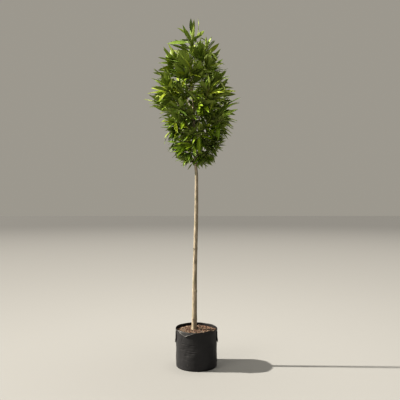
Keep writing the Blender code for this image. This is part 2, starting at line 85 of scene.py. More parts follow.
# %% Light and floor
KEY_BEARING = radians(178)  # where the light comes from, counted from +X
KEY_HEIGHT = radians(34)
KEY_SOFTNESS = radians(1.5)
KEY_AWAY = 10.0
KEY_STRENGTH = 9.6
KEY_COLOUR = (1.0, 0.93, 0.80)
SOFT_LIGHTS = (  # name, place, height it is aimed at, size, strength, colour
    ("front_fill", (-4.4, -4.0, 3.2), 1.5, 2.4, 130.0, KEY_COLOUR),
    ("top_softbox", (0.3, 0.4, 5.2), 2.3, 2.6, 150.0, (1.0, 0.95, 0.82)),
)
SKY_COLOUR = (1.0, 0.945, 0.83)
SKY_STRENGTH = 0.31
FLOOR_COLOUR = (0.235, 0.237, 0.242)
FLOOR_FAR_COLOUR = (0.124, 0.126, 0.130)
FADE_FROM, FADE_TO = 3.0, 26.0  # metres from the tree
FLOOR_REACH = 40.0


def aimed_light(name, kind, place, aimed_at, strength, colour):
    data = bpy.data.lights.new(name, kind)
    data.energy = strength
    data.color = colour
    lamp = bpy.data.objects.new(name, data)
    lamp.location = place
    lamp.rotation_euler = (UP * aimed_at - Vector(place)).to_track_quat("-Z", "Y").to_euler()
    scene.collection.objects.link(lamp)
    return data


away = Vector((cos(KEY_BEARING), sin(KEY_BEARING), tan(KEY_HEIGHT)))
aimed_light("key_light", "SUN", away * KEY_AWAY, 0.0, KEY_STRENGTH, KEY_COLOUR).angle = KEY_SOFTNESS
for name, place, aimed_at, size, strength, colour in SOFT_LIGHTS:
    aimed_light(name, "AREA", place, aimed_at, strength, colour).size = size

world = bpy.data.worlds.new("pale_sky")
world.use_nodes = True
sky = world.node_tree.nodes["Background"]
sky.inputs["Color"].default_value = (*SKY_COLOUR, 1)
sky.inputs["Strength"].default_value = SKY_STRENGTH
scene.world = world
scene.view_settings.view_transform = "Standard"
scene.view_settings.look = "Medium High Contrast"

# %% [markdown]
# ## Finishes
# A finish starts as one plain shader with a colour and a roughness. What varies over the surface is
# added as nodes: a mottle is a noise that picks its colour from a ramp, grain is a finer noise read as
# height, and wear is a noise that makes some places shinier than others. The noise is laid in metres,
# in the object's own space, so that a number in a finish is a real size.

# %% Finishes


def shader_of(finish):
    return finish.node_tree.nodes["Principled BSDF"]


def set_inputs(node, values):
    """Gives a node's inputs their values. Where a value is another node's output, the two are joined."""
    for name, value in values.items():
        if isinstance(value, bpy.types.NodeSocket):
            node.id_data.links.new(value, node.inputs[name])
        else:
            node.inputs[name].default_value = value


def add_node(finish, kind, values, **settings):
    node = finish.node_tree.nodes.new("ShaderNode" + kind)
    for name, value in settings.items():
        setattr(node, name, value)
    set_inputs(node, values)
    return node


def plain_finish(name, colour, roughness, specular=0.5):
    made = bpy.data.materials.new(name)
    made.use_nodes = True
    values = {"Base Color": (*colour, 1), "Roughness": roughness, "Specular IOR Level": specular}
    set_inputs(shader_of(made), values)
    return made


def noise_of(finish, size, stretch=1.0, detail=4.0, evenness=0.5):
    """A noise whose patches are about `size` metres across, and `stretch` times as tall."""
    place = add_node(finish, "TexCoord", {}).outputs["Object"]
    scale = (1 / size, 1 / size, 1 / (size * stretch))
    place = add_node(finish, "Mapping", {"Vector": place, "Scale": scale}).outputs["Vector"]
    values = {"Vector": place, "Scale": 1.0, "Detail": detail, "Roughness": evenness}
    return add_node(finish, "TexNoise", values).outputs["Fac"]


def colour_by(finish, value, stops):
    """Colours the surface by a value. The stops are (place on the ramp, colour)."""
    node = add_node(finish, "ValToRGB", {"Fac": value})
    marks = node.color_ramp.elements
    while len(marks) < len(stops):
        marks.new(0.5)
    for mark, (place, colour) in zip(marks, stops):
        mark.position = place
        mark.color = (*colour, 1)
    set_inputs(shader_of(finish), {"Base Color": node.outputs["Color"]})
    return node.color_ramp


def mottle(finish, size, stops, stretch=1.0, detail=4.0):
    colour_by(finish, noise_of(finish, size, stretch, detail, 0.6), stops)


def overlay(finish, size, colour, low, high):
    """Lays a second colour over the first where another noise is high."""
    shader = shader_of(finish)
    below = shader.inputs["Base Color"].links[0].from_socket
    limits = {"Value": noise_of(finish, size), "From Min": low, "From Max": high}
    cover = add_node(finish, "MapRange", limits).outputs["Result"]
    mix = add_node(finish, "Mix", {"Factor": cover, "A": below, "B": (*colour, 1)}, data_type="RGBA")
    set_inputs(shader, {"Base Color": mix.outputs["Result"]})


def grain(finish, size, depth, stretch=1.0, strength=0.6):
    """Fine relief, `depth` metres deep."""
    height = noise_of(finish, size, stretch, 6.0, 0.6)
    bump = add_node(finish, "Bump", {"Distance": depth, "Strength": strength, "Height": height})
    set_inputs(shader_of(finish), {"Normal": bump.outputs["Normal"]})


def wear(finish, size, low, high):
    """Roughness between two values, in patches."""
    limits = {"Value": noise_of(finish, size), "To Min": low, "To Max": high}
    set_inputs(shader_of(finish), {"Roughness": add_node(finish, "MapRange", limits).outputs["Result"]})


def fading_floor():
    """Plain near the tree, and far off as pale as the sky that it meets, so that no edge shows."""
    made = plain_finish("pale_floor", FLOOR_COLOUR, 0.9, 0.2)
    place = add_node(made, "TexCoord", {}).outputs["Object"]
    distance = add_node(made, "VectorMath", {0: place}, operation="LENGTH").outputs["Value"]
    fade = add_node(made, "MapRange", {"Value": distance, "From Min": FADE_FROM, "From Max": FADE_TO})
    ramp = colour_by(made, fade.outputs["Result"], [(0.0, FLOOR_COLOUR), (1.0, FLOOR_FAR_COLOUR)])
    ramp.interpolation = "EASE"
    return made


floor_mesh = bpy.data.meshes.new("floor")
corners = [(x * FLOOR_REACH, y * FLOOR_REACH, 0) for x, y in ((-1, -1), (1, -1), (1, 1), (-1, 1))]
floor_mesh.from_pydata(corners, [], [(0, 1, 2, 3)])
floor_mesh.materials.append(fading_floor())
floor = bpy.data.objects.new("floor", floor_mesh)
scene.collection.objects.link(floor)

# %% [markdown]
# ## Joined meshes
# A tree is thousands of small parts, and each kind ends as a few joined meshes. A gathering collects
# the corners and faces of one kind, and turns them into a piece at the end. Every piece rides on the
# model's one body, and hides the solids that it stands for.

# %% Joined meshes


class Gathering:
    """Corners and faces of many small parts, until they become one piece."""

    def __init__(self):
        self.corners = []
        self.faces = []
        self.kinds = []
        self.count = 0

    def add(self, corners, *groups):
        """Adds one part. Each group is (faces as corner numbers, which of the piece's finishes they take)."""
        for faces, kind in groups:
            self.faces += (np.asarray(faces) + self.count).tolist()
            self.kinds += [kind] * len(faces)
        self.corners.append(np.asarray(corners, float))
        self.count += len(corners)

    def add_tube(self, shape, kind=0):
        corners, faces, ends = shape
        self.add(corners, (faces, kind), (ends, kind))

    def piece(self, name, finishes, nodes, sharp_angle=None):
        mesh = bpy.data.meshes.new(name)
        mesh.from_pydata(np.concatenate(self.corners).tolist(), [], self.faces)
        for finish in finishes:
            mesh.materials.append(finish)
        mesh.polygons.foreach_set("material_index", self.kinds)
        mesh.update()
        if sharp_angle is not None:
            mesh.shade_smooth()
            mesh.set_sharp_from_angle(angle=radians(sharp_angle))
        obj = bpy.data.objects.new(name, mesh)
        scene.collection.objects.link(obj)
        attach(obj, BODY)
        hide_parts(*nodes)
        print(f"{name}: {sum(len(face) - 2 for face in self.faces)} triangles")


def between(low, high, share):
    return low + (high - low) * share


def at_bearing(bearing, radius=1.0, height=0.0):
    """The point this far from the origin's upright line, on a bearing counted from +X."""
    return radius * cos(bearing), radius * sin(bearing), height


def off_bearing(bearing, other):
    """How far one bearing is from another, within half a turn either way."""
    return (bearing - other + pi) % FULL_TURN - pi


def grid_faces(rows, columns, closed=True):
    """Faces between the rows of a grid of corners, numbered row by row."""
    steps = columns if closed else columns - 1
    row, column = np.meshgrid(np.arange(rows - 1), np.arange(steps), indexing="ij")
    first = (row * columns + column).ravel()
    second = (row * columns + (column + 1) % columns).ravel()
    return np.stack([first, second, second + columns, first + columns], axis=1)


def last_ring(corners, columns):
    """The last ring of corners, as one face."""
    return list(range(len(corners) - columns, len(corners)))


def bumpiness(place, size, seed=0.0):
    """Smooth noise between about -1 and 1, with lumps of one size."""
    return noise.noise(Vector(place) / size + Vector((seed, seed, seed)))


def hump(distance, width):
    """1 at no distance, falling off smoothly."""
    return np.exp(-((distance / width) ** 2))


# %% [markdown]
# ## The growing bag
# The real bag is a tube of tough black film with a welded foot and a folded hem. Standing full of
# compost it is nearly round, with dents and creases where the film was folded. A solid of revolution
# would be too perfect, so the wall is lofted on a fine grid and every corner is moved in or out by
# soft dents, by sharp creases at places drawn from a seed, and by two welded seams.

# %% The bag's shape
BAG_RADIUS = 0.177
BAG_FOOT_RADIUS = 0.168
BAG_CORNER_HEIGHT = 0.022
BAG_HEIGHT = 0.322
BAG_HEM_HEIGHT = 0.016
HEM_FOOT = BAG_HEIGHT - BAG_HEM_HEIGHT
WALL_FOOT_RADIUS = BAG_RADIUS - 2 * MM
RIM_RISE = 0.002  # to the back, and the same to the left
FOLD_BEARING = radians(-56)  # where the rim stands up in a fold
FOLD_RISE = 0.010
FOLD_WIDTH = 0.36
FILM = 1.3 * MM
BAG_COLUMNS = 264
WALL_ROWS = 120
HANDLE_BEARINGS = (0.0, pi)
SEAM_BEARINGS = (radians(-36), radians(144))
SEAM_PROUD = 1.1 * MM
SEAM_HALF_WIDTH = 0.0045
SEAM_RIB_PITCH, SEAM_RIB_SHARE = 0.004, 0.25
SEAM_SHOWS, SEAM_FROM = 0.2, 0.97  # only where creases show more, and the wall is nearly full width
CREASE_FIELD = (radians(-134), radians(-103), 0.120, 0.225)  # the creased place at the front
CREASE_SEED = 11
LEVEL_CREASES, LOOSE_CREASES = 11, 46
LEVEL_LENGTHS, LEVEL_TILTS, LEVEL_DEPTH = (0.045, 0.085), (-0.05, 0.05), 1.9  # depths in millimetres
LOOSE_HEIGHTS, LOOSE_LENGTHS, LOOSE_DEPTHS = (0.03, 0.29), (0.03, 0.11), (0.7, 1.7)
STEEP_SHARE, STEEP_TILTS, FLAT_TILTS = 0.55, (1.1, 1.9), (-0.35, 0.35)
PULL_OFF, PULL_LEAN, PULL = 0.30, 0.35, (0.265, 0.10, 1.6)  # beside a handle: height, length, depth
CREASE_BOW = 0.0018
CREASE_WIDTH = 0.0032
SWELL_SHARE, SWELL_OFF, SWELL_WIDTH = 0.4, 0.007, 0.005


def bag_radius(height):
    """The wall's outer radius: a rounded foot corner, then a wall that opens very slightly."""
    share = 1 - min(height / BAG_CORNER_HEIGHT, 1.0)
    if share > 0:
        return between(BAG_FOOT_RADIUS, WALL_FOOT_RADIUS, sqrt(1 - share * share))
    up = (height - BAG_CORNER_HEIGHT) / (BAG_HEIGHT - BAG_CORNER_HEIGHT)
    return between(WALL_FOOT_RADIUS, BAG_RADIUS, up)


def rim_rise(bearing):
    tilt = RIM_RISE * np.sin(bearing) - RIM_RISE * np.cos(bearing)
    return tilt + FOLD_RISE * hump(off_bearing(bearing, FOLD_BEARING), FOLD_WIDTH)


def drawn_creases():
    """(bearing, height, length, tilt, depth) of every crease: a field of level ones, and some all round."""
    draw = random.Random(CREASE_SEED)
    left, right, low, high = CREASE_FIELD
    creases = []
    for k in range(LEVEL_CREASES):
        height = between(low, high, (k + draw.uniform(0.2, 0.8)) / LEVEL_CREASES)
        bearing, length = draw.uniform(left, right), draw.uniform(*LEVEL_LENGTHS)
        creases.append((bearing, height, length, draw.uniform(*LEVEL_TILTS), LEVEL_DEPTH))
    for _ in range(LOOSE_CREASES):
        bearing = draw.uniform(-pi, pi)
        tilt = draw.uniform(*(STEEP_TILTS if draw.random() < STEEP_SHARE else FLAT_TILTS))
        height, length = draw.uniform(*LOOSE_HEIGHTS), draw.uniform(*LOOSE_LENGTHS)
        creases.append((bearing, height, length, tilt, draw.uniform(*LOOSE_DEPTHS)))
    for bearing in HANDLE_BEARINGS:
        for side in (-1, 1):
            height, length, depth = PULL
            creases.append((bearing + side * PULL_OFF, height, length, pi / 2 - side * PULL_LEAN, depth))
    return creases


def crease_depth(bearings, heights):
    """How far the creases press the film in: a sharp valley with a soft swelling beside it."""
    depth = np.zeros_like(bearings)
    for bearing, height, length, tilt, millimetres in drawn_creases():
        across, up = off_bearing(bearings, bearing) * BAG_RADIUS, heights - height
        along = across * cos(tilt) + up * sin(tilt)
        off = up * cos(tilt) - across * sin(tilt) - CREASE_BOW * (along / length) ** 2
        valley = hump(off, CREASE_WIDTH) - SWELL_SHARE * hump(off - SWELL_OFF, SWELL_WIDTH)
        depth += MM * millimetres * hump(along, length / 2) * valley
    return depth


def seam_height(bearings, heights):
    """How far the two welded seams, with their fine ribs, stand out from the wall."""
    ribs = 1 - SEAM_RIB_SHARE + SEAM_RIB_SHARE * np.cos(heights * FULL_TURN / SEAM_RIB_PITCH)
    return sum(
        SEAM_PROUD * ribs * (np.abs(off_bearing(bearings, seam) * BAG_RADIUS) < SEAM_HALF_WIDTH)
        for seam in SEAM_BEARINGS
    )


# %% [markdown]
# The film's own path is a profile: across the foot, up the wall, out round the hem and down again on
# the inside as far as the compost hides it. Each point of the profile is spun round the bag, and the
# creases fade out towards the foot and the hem, where the film is stiff.

# %% Loft the bag
FOOT_RINGS = (0.045, 0.100, BAG_FOOT_RADIUS - 0.010)
HEM_PROFILE = (  # (out, up) from the hem's foot, in millimetres
    (1.4, 0.6), (2.2, 2.5), (2.3, 6.0), (2.2, 11.0), (1.7, 14.2), (0.9, 15.8), (0.0, 16.0), (-1.0, 15.4),
    (-1.5, 13.5),
)
ROW_EASE = 1.12  # closer rows near the foot
FOOT_FADE, HEM_FADE, UNDER_HEM_SHOWS = 0.030, 0.045, 0.10
INNER_ROWS = 9
INNER_TOP, INNER_FOOT = HEM_FOOT + 0.010, 0.270
INNER_GAP = 0.4 * MM
HEM_SHOWS, INNER_SHOWS = 0.12, 0.3  # how much the dents and creases show there
DENT_DEPTH = 3.4 * MM
DENT_SIZE, SMALL_DENT_SIZE, WAVE_SIZE = 0.075, 0.028, 0.055
SMALL_DENT_SEED, WAVE_SEED = 5.0, 9.0
DENT_UPRIGHT = 0.8  # of the height, so that dents are a little taller than wide
SMALL_DENT_SHARE, DENT_INWARD, DENT_LIMIT = 0.4, 0.35, 0.15  # the film bulges out only to the limit
RIM_DROP, RIM_WAVE, HEM_WAVE = 2.0 * MM, 2.4 * MM, 1.8 * MM
HEM_WAVE_INWARD = 0.5
HEM_WAVE_COLUMNS = 40  # how far round the hem's wave in and out lags its wave up and down
CLEAR_ROWS = slice(20, 100)  # of the wall, clear of its foot and its hem


def bag_profile():
    """(radius, height, how much the creases show) from the middle of the foot to the inside of the rim."""
    profile = [(radius, 0.0, 0.0) for radius in FOOT_RINGS]
    for k in range(WALL_ROWS):
        height = between(0.0, HEM_FOOT, (k / (WALL_ROWS - 1)) ** ROW_EASE)
        shows = min(1.0, height / FOOT_FADE, (HEM_FOOT - height) / HEM_FADE + UNDER_HEM_SHOWS)
        profile.append((bag_radius(height), height, shows))
    for out, up in HEM_PROFILE:
        height = HEM_FOOT + up * MM
        profile.append((bag_radius(height) + out * MM, height, HEM_SHOWS))
    for k in range(INNER_ROWS):
        height = between(INNER_TOP, INNER_FOOT, k / (INNER_ROWS - 1))
        profile.append((bag_radius(height) - FILM - INNER_GAP, height, INNER_SHOWS))
    return np.array(profile)


def loft_bag():
    """The bearing, radius and height of every corner of the film."""
    profile = bag_profile()
    turns = np.linspace(-pi, pi, BAG_COLUMNS, endpoint=False)
    bearings, radii = np.meshgrid(turns, profile[:, 0])
    heights, shows = (np.repeat(profile[:, k : k + 1], BAG_COLUMNS, axis=1) for k in (1, 2))
    dents = np.zeros_like(radii)
    waves = np.zeros_like(radii)
    for row, height in enumerate(profile[:, 1]):
        for column, turn in enumerate(turns):
            place = at_bearing(turn, BAG_RADIUS, height * DENT_UPRIGHT)
            small = bumpiness(place, SMALL_DENT_SIZE, SMALL_DENT_SEED)
            dents[row, column] = bumpiness(place, DENT_SIZE) - DENT_INWARD + SMALL_DENT_SHARE * small
            waves[row, column] = bumpiness(place, WAVE_SIZE, WAVE_SEED)
    dents = DENT_DEPTH * np.minimum(dents, DENT_LIMIT)
    radii = radii + shows * (dents - crease_depth(bearings, heights))
    welded = (shows > SEAM_SHOWS) * (radii > BAG_RADIUS * SEAM_FROM)
    radii += seam_height(bearings, heights) * welded
    lift = np.clip((heights - HEM_FOOT + BAG_HEM_HEIGHT) / (2 * BAG_HEM_HEIGHT), 0, 1)
    heights = heights + lift * (rim_rise(bearings) - RIM_DROP + RIM_WAVE * waves)
    radii += lift * HEM_WAVE * (np.roll(waves, HEM_WAVE_COLUMNS, axis=1) - HEM_WAVE_INWARD)
    return bearings, radii, heights


bearings, radii, heights = loft_bag()
bag = Gathering()
corners = np.stack([radii * np.cos(bearings), radii * np.sin(bearings), heights], axis=2).reshape(-1, 3)
bag.add(corners, (grid_faces(len(radii), BAG_COLUMNS), 0), ([list(range(BAG_COLUMNS))[::-1]], 0))
wall = radii[CLEAR_ROWS]
print("bag wall between", round(wall.min(), 4), "and", round(wall.max(), 4), "m from the middle")

# %% [markdown]
# Two shapes come back on this tree in every size. A tube follows a line, and serves for the stem, the
# boughs, the twigs and the roll of the bag's hem. A round relief is rings of corners about a middle, and
# serves for the pressed rings of the drainage holes and for the scars on the bark.

# %% Tubes and round reliefs


def frames_along(points):
    """Two directions square to the line at each point, turned as little as possible from one to the next."""
    first = (points[1] - points[0]).normalized()
    side = first.cross(UP)
    if side.length < 0.1:
        side = first.cross(Vector((0.0, 1.0, 0.0)))
    side.normalize()
    pairs = []
    for before, after in zip([points[0], *points], [*points[1:], points[-1]]):
        ahead = (after - before).normalized()
        side = (side - ahead * side.dot(ahead)).normalized()
        pairs.append((side, ahead.cross(side)))
    return pairs


def tube(points, radii, sides, relief=None):
    """Corners and faces of a closed tube. The relief adds to the radius at (turn, point)."""
    corners = []
    for point, radius, (side, other) in zip(points, radii, frames_along(points)):
        for k in range(sides):
            turn = FULL_TURN * k / sides
            reach = radius + float(relief(turn, point, radius)) if relief else radius
            corners.append(point + (cos(turn) * side + sin(turn) * other) * reach)
    return corners, grid_faces(len(points), sides), [list(range(sides)), last_ring(corners, sides)]


def add_relief(gathering, place, outline, steps, dark):
    """A round relief with a dark middle. The outline is (distance from it, how proud) ring by ring."""
    corners = [place(FULL_TURN * k / steps, *ring) for ring in outline for k in range(steps)]
    faces = grid_faces(len(outline), steps)
    cap = [last_ring(corners, steps)]
    gathering.add(corners, (faces[:-steps], 0), (faces[-steps:], dark), (cap, dark))


# %% [markdown]
# Drainage holes are punched near the bag's foot. Each has a pressed ring, which is seated on the dented
# film: it stands as far out as the film does just there, so that no ring sinks in.

# %% Drainage holes
HOLES = 10
FIRST_HOLE = radians(-114)
HOLE_HEIGHT = 0.048
HOLE_RADIUS = 4.2 * MM
RING_STEPS = 14
RING_OUTLINE = [  # out from the hole's middle, and how proud in millimetres
    (HOLE_RADIUS * share, proud * MM)
    for share, proud in ((2.0, -1.6), (1.6, 0.5), (1.25, 1.2), (1.0, 0.9), (0.9, 0.25), (0.3, 0.15))
]


def hole_place(bearing):
    """A function that gives the places round a drainage hole, seated on the film near it."""
    out = Vector(at_bearing(bearing))
    across = UP.cross(out)
    near = np.abs(off_bearing(bearings, bearing)) * BAG_RADIUS < HOLE_RADIUS
    near &= np.abs(heights - HOLE_HEIGHT) < HOLE_RADIUS
    middle = out * float(radii[near].max()) + UP * HOLE_HEIGHT

    def place(turn, distance, proud):
        level = middle + out * proud + across * cos(turn) * distance
        return level + UP * (sin(turn) * distance)

    return place


# The middle of each ring takes the second finish: compost brown, darkened as painted shade in the hole.
for hole in range(HOLES):
    add_relief(bag, hole_place(FIRST_HOLE + FULL_TURN * hole / HOLES), RING_OUTLINE, RING_STEPS, 1)
print(HOLES, "drainage holes,", round(HOLE_RADIUS * 2 / MM, 1), "mm across")

# %% [markdown]
# At the front left a corner of the hem is turned down, where the film's edge catches the light. It is a
# triangle of film with two skins, and a thin roll along its free edge, painted paler as a painted highlight.

# %% The turned corner
FLAP_RIGHT, FLAP_LEFT = radians(-91), radians(-150)
FLAP_CORNER = 0.48  # how far along the flap its lowest corner is
FLAP_DROP = 0.036
FLAP_PROUD = 5.5 * MM
FLAP_BELOW_RIM = 1.2 * MM
FLAP_GAP, FLAP_OUT = 0.2 * MM, 2.4 * MM
FLAP_RIPPLE, RIPPLES = 0.9 * MM, 19.0
FLAP_SWEEP, TURN_OVER, CURL_EASE, CURL_GROWTH = 1.3, 3.0, 1.5, 0.5  # how its curves run
FLAP_STEPS, FLAP_ROWS = 26, 9
HEM_ROLL, HEM_ROLL_SIDES = 1.5 * MM, 8


def turned_corner():
    """A triangle of film, folded outwards over the hem: its two skins, joined along its free edge."""
    skins = []
    for thick in (0.0, FILM):
        for row in range(FLAP_ROWS):
            for step in range(FLAP_STEPS):
                along, down = step / (FLAP_STEPS - 1), row / (FLAP_ROWS - 1)
                bearing = between(FLAP_RIGHT, FLAP_LEFT, along)
                if along < FLAP_CORNER:
                    drop = FLAP_DROP * (along / FLAP_CORNER) ** FLAP_SWEEP
                else:
                    drop = FLAP_DROP * (1 - along) / (1 - FLAP_CORNER)
                top = BAG_HEIGHT + rim_rise(bearing) - FLAP_BELOW_RIM
                over = sin(min(down * TURN_OVER, 1.0) * pi / 2)
                curl = FLAP_PROUD * down**CURL_EASE * (drop / FLAP_DROP) ** CURL_GROWTH
                ripple = FLAP_RIPPLE * sin(along * RIPPLES) * down
                radius = BAG_RADIUS + FLAP_GAP + over * FLAP_OUT + curl + ripple + thick
                skins.append(at_bearing(bearing, radius, top - drop * down + thick * (1 - over)))
    inner = grid_faces(FLAP_ROWS, FLAP_STEPS, closed=False)
    last = FLAP_ROWS * FLAP_STEPS
    edge = range(last - FLAP_STEPS, last)
    joins = [(a, b, last + b, last + a) for a, b in zip(edge, edge[1:])]
    middle = [(Vector(skins[k]) + Vector(skins[last + k])) / 2 for k in edge]
    return skins, np.concatenate([inner, inner[:, ::-1] + last, joins]), middle


corners, faces, edge = turned_corner()
bag.add(corners, (faces, 0))
# The roll takes the third finish: a paler grey that is a painted highlight.
bag.add_tube(tube(edge, [HEM_ROLL] * len(edge), HEM_ROLL_SIDES), 2)
print("turned corner:", len(faces), "faces")

# %% [markdown]
# The film is black with a dull shine, and a thin grey bloom of dried dust lies on it in patches. The
# holes' middles are compost brown darkened with painted shade. The roll on the film's edge is a painted
# highlight.

# %% Finish the bag
BLACK_FILM = (0.0095, 0.0096, 0.0115)
WORN_FILM = (0.0145, 0.0143, 0.0165)
DUSTY_FILM = (0.028, 0.027, 0.029)

film = plain_finish("black_film", BLACK_FILM, 0.5, 0.35)
mottle(film, 0.11, [(0.30, BLACK_FILM), (0.62, WORN_FILM), (0.85, DUSTY_FILM)])
grain(film, 0.0035, 0.5 * MM, stretch=1.5, strength=0.35)
wear(film, 0.05, 0.40, 0.64)
# The holes' middles: compost brown, darkened with painted shade of the hole.
hole_dark = plain_finish("hole_dark", (0.030, 0.024, 0.020), 0.9)
# A paler grey on the edge's roll: a painted highlight where the edge catches the light.
hem_edge = plain_finish("hem_edge", (0.070, 0.069, 0.070), 0.42)
bag.piece("grow_bag_film", [film, hole_dark, hem_edge], ["grow_bag"], sharp_angle=50)

# %% [markdown]
# ## Webbing handles
# A loop of webbing hangs on each side, sewn in under the hem. Webbing is woven in fine ribs across its
# width, so the strap is lofted along its line with a small step up and down at every rib. Its line
# is the one that the solid follows, and it lies a little slack against the wall.

# %% Webbing handles
GAP = 0.3 * MM
HANDLE_HALF_SPAN = 0.042
HANDLE_TOP = 0.292
HANDLE_BOTTOM = 0.208
HANDLE_HIDDEN = 0.010  # of each leg, up inside the hem
HANDLE_WIDTH = 0.024
HANDLE_THICKNESS = 2.6 * MM
HANDLE_SLACK = 2.6 * MM
RIB_PITCH = 2.0 * MM
RIB_SHARE = 0.09
STRAP_ACROSS = (  # (across, out) round the strap, against its width and its thickness
    (-0.5, 0.25), (-0.47, 1.0), (-0.30, 1.0), (-0.10, 1.06), (0.10, 1.06), (0.30, 1.0), (0.47, 1.0),
    (0.5, 0.25), (0.46, 0.0), (-0.46, 0.0),
)
STITCH_ROWS = (0.287, 0.279, 0.271)
STITCHES, STITCHED = 5, 0.4  # in a row, and how far the row reaches to each side of the strap's middle
STITCH = ((-1.9, 0, 0), (0, 0.6, 0), (1.9, 0, 0), (0, -0.6, 0), (0, 0, 0.8))  # millimetres


def handle_line():
    """Points as (arc along the wall, height), down one leg, round the bend and up the other."""
    bend = HANDLE_BOTTOM + HANDLE_HALF_SPAN
    leg = np.arange(HANDLE_TOP + HANDLE_HIDDEN, bend, -RIB_PITCH / 2)
    line = [(-HANDLE_HALF_SPAN, height) for height in leg]
    steps = round(pi * HANDLE_HALF_SPAN / (RIB_PITCH / 2))
    for k in range(steps + 1):
        across, up, _ = at_bearing(pi + pi * k / steps, HANDLE_HALF_SPAN)
        line.append((across, bend + up))
    line += [(HANDLE_HALF_SPAN, height) for height in leg[::-1]]
    return [Vector(point) for point in line]


def on_wall(bearing, arc, height, lift):
    return at_bearing(bearing + arc / BAG_RADIUS, BAG_RADIUS + GAP + lift, height)


def slack(height):
    """How far off the wall the strap's back hangs: nothing at its sewn ends, most at the bend."""
    return HANDLE_SLACK * max(0.0, (HANDLE_TOP - height) / (HANDLE_TOP - HANDLE_BOTTOM))


def strap(bearing):
    line = handle_line()
    corners = []
    for index, point in enumerate(line):
        ahead = (line[min(index + 1, len(line) - 1)] - line[max(index - 1, 0)]).normalized()
        across = Vector((-ahead.y, ahead.x)) * HANDLE_WIDTH
        rib = 1.0 + RIB_SHARE * (-1) ** index
        for share, thick in STRAP_ACROSS:
            place = point + across * share
            lift = slack(point.y) + thick * rib * HANDLE_THICKNESS
            corners.append(on_wall(bearing, place.x, place.y, lift))
    around = len(STRAP_ACROSS)
    ends = [list(range(around)), last_ring(corners, around)[::-1]]
    return corners, grid_faces(len(line), around), ends


def stitches(gathering, bearing):
    """Short raised threads that sew each leg to the bag, in rows just under the hem."""
    for leg in (-HANDLE_HALF_SPAN, HANDLE_HALF_SPAN):
        for height in STITCH_ROWS:
            for k in range(STITCHES):
                arc = leg + between(-STITCHED, STITCHED, k / (STITCHES - 1)) * HANDLE_WIDTH
                out = slack(height) + HANDLE_THICKNESS
                corners = []
                for along, up, proud in STITCH:
                    place = (arc + along * MM, height + up * MM, out + proud * MM)
                    corners.append(on_wall(bearing, *place))
                gathering.add(corners, ([(0, 4, 1), (1, 4, 2), (2, 4, 3), (3, 4, 0)], 1))


webbing = plain_finish("black_webbing", (0.014, 0.014, 0.015), 0.8, 0.3)
mottle(webbing, 0.012, [(0.35, (0.010, 0.010, 0.011)), (0.75, (0.030, 0.029, 0.028))])
grain(webbing, 0.0012, 0.4 * MM, strength=0.5)
thread = plain_finish("thread", (0.030, 0.029, 0.028), 0.6)
for name, bearing in zip(("bag_handle_right", "bag_handle_left"), HANDLE_BEARINGS):
    handle = Gathering()
    handle.add_tube(strap(bearing))
    stitches(handle, bearing)
    handle.piece(name + "_webbing", [webbing, thread], [name], sharp_angle=40)

# %% [markdown]
# ## Compost
# Bark compost is a rough brown surface with chips of bark, and some pale grit, lying on it. The surface
# is a disc of fine rings with lumps of several sizes. The chips are hundreds of small flat many-sided
# lumps, each turned its own way and pressed a little into the surface, so none of them floats.

# %% The compost's surface
SOIL_TOP = 0.306
SOIL_EDGE_DIP, SOIL_EDGE_EASE = 0.008, 1.5
SOIL_FLAT_RADIUS = 0.045
SOIL_RADIUS = BAG_RADIUS - 2.6 * MM
SOIL_RINGS, SOIL_COLUMNS = 44, 130
SOIL_LUMPS = ((2.6, 0.045, 0.0), (1.7, 0.014, 3.0), (0.9, 0.005, 7.0))  # height in millimetres, size, seed
SOIL_SUNK, MOUND = 0.6, 1.6  # millimetres: all over, and up at the stem's foot
MOUND_WIDTH, MOUND_SMOOTH = 0.012, 0.8  # the lumps are lower there
SOIL_SIDES = (SOIL_TOP - 0.020, 0.12, 0.030, 0.008)  # heights of the hidden rings inside the bag
SOIL_SIDE_GAP = 9 * MM
SOIL_BROWNS = ((0.28, (0.022, 0.014, 0.010)), (0.5, (0.070, 0.044, 0.028)), (0.72, (0.13, 0.085, 0.055)))
TRUNK_FOOT = (-0.0196, 0.0)
TRUNK_FOOT_RADIUS = 0.0258


def from_foot(x, y):
    return hypot(x - TRUNK_FOOT[0], y - TRUNK_FOOT[1]) - TRUNK_FOOT_RADIUS


def soil_height(x, y):
    """The lie of the compost: level round the stem, lower at the wall, lumpy all over."""
    share = max(0.0, (hypot(x, y) - SOIL_FLAT_RADIUS) / (SOIL_RADIUS - SOIL_FLAT_RADIUS))
    lie = SOIL_TOP - SOIL_EDGE_DIP * share**SOIL_EDGE_EASE
    lumps = sum(high * bumpiness((x, y, 0.0), size, seed) for high, size, seed in SOIL_LUMPS)
    at_stem = hump(from_foot(x, y), MOUND_WIDTH)
    return lie + MM * (lumps * (1 - MOUND_SMOOTH * at_stem) + MOUND * at_stem - SOIL_SUNK)


soil = Gathering()
corners = [(0.0, 0.0, soil_height(0.0, 0.0))]
rings = [(SOIL_RADIUS * ring / SOIL_RINGS, None) for ring in range(1, SOIL_RINGS + 1)]
rings += [(bag_radius(height) - SOIL_SIDE_GAP, height) for height in SOIL_SIDES]
for radius, height in rings:
    for column in range(SOIL_COLUMNS):
        x, y, _ = at_bearing(FULL_TURN * column / SOIL_COLUMNS, radius)
        corners.append((x, y, soil_height(x, y) if height is None else height))
skin = grid_faces(len(rings), SOIL_COLUMNS)[:, ::-1] + 1
middle = [(0, 1 + column, 1 + (column + 1) % SOIL_COLUMNS) for column in range(SOIL_COLUMNS)]
soil.add(corners, (skin, 0), (middle, 0), ([last_ring(corners, SOIL_COLUMNS)[::-1]], 0))

compost = plain_finish("compost", (0.06, 0.042, 0.03), 0.95, 0.2)
mottle(compost, 0.012, SOIL_BROWNS)
grain(compost, 0.004, 1.5 * MM, strength=0.9)
soil.piece("compost_surface", [compost], ["compost"], sharp_angle=80)

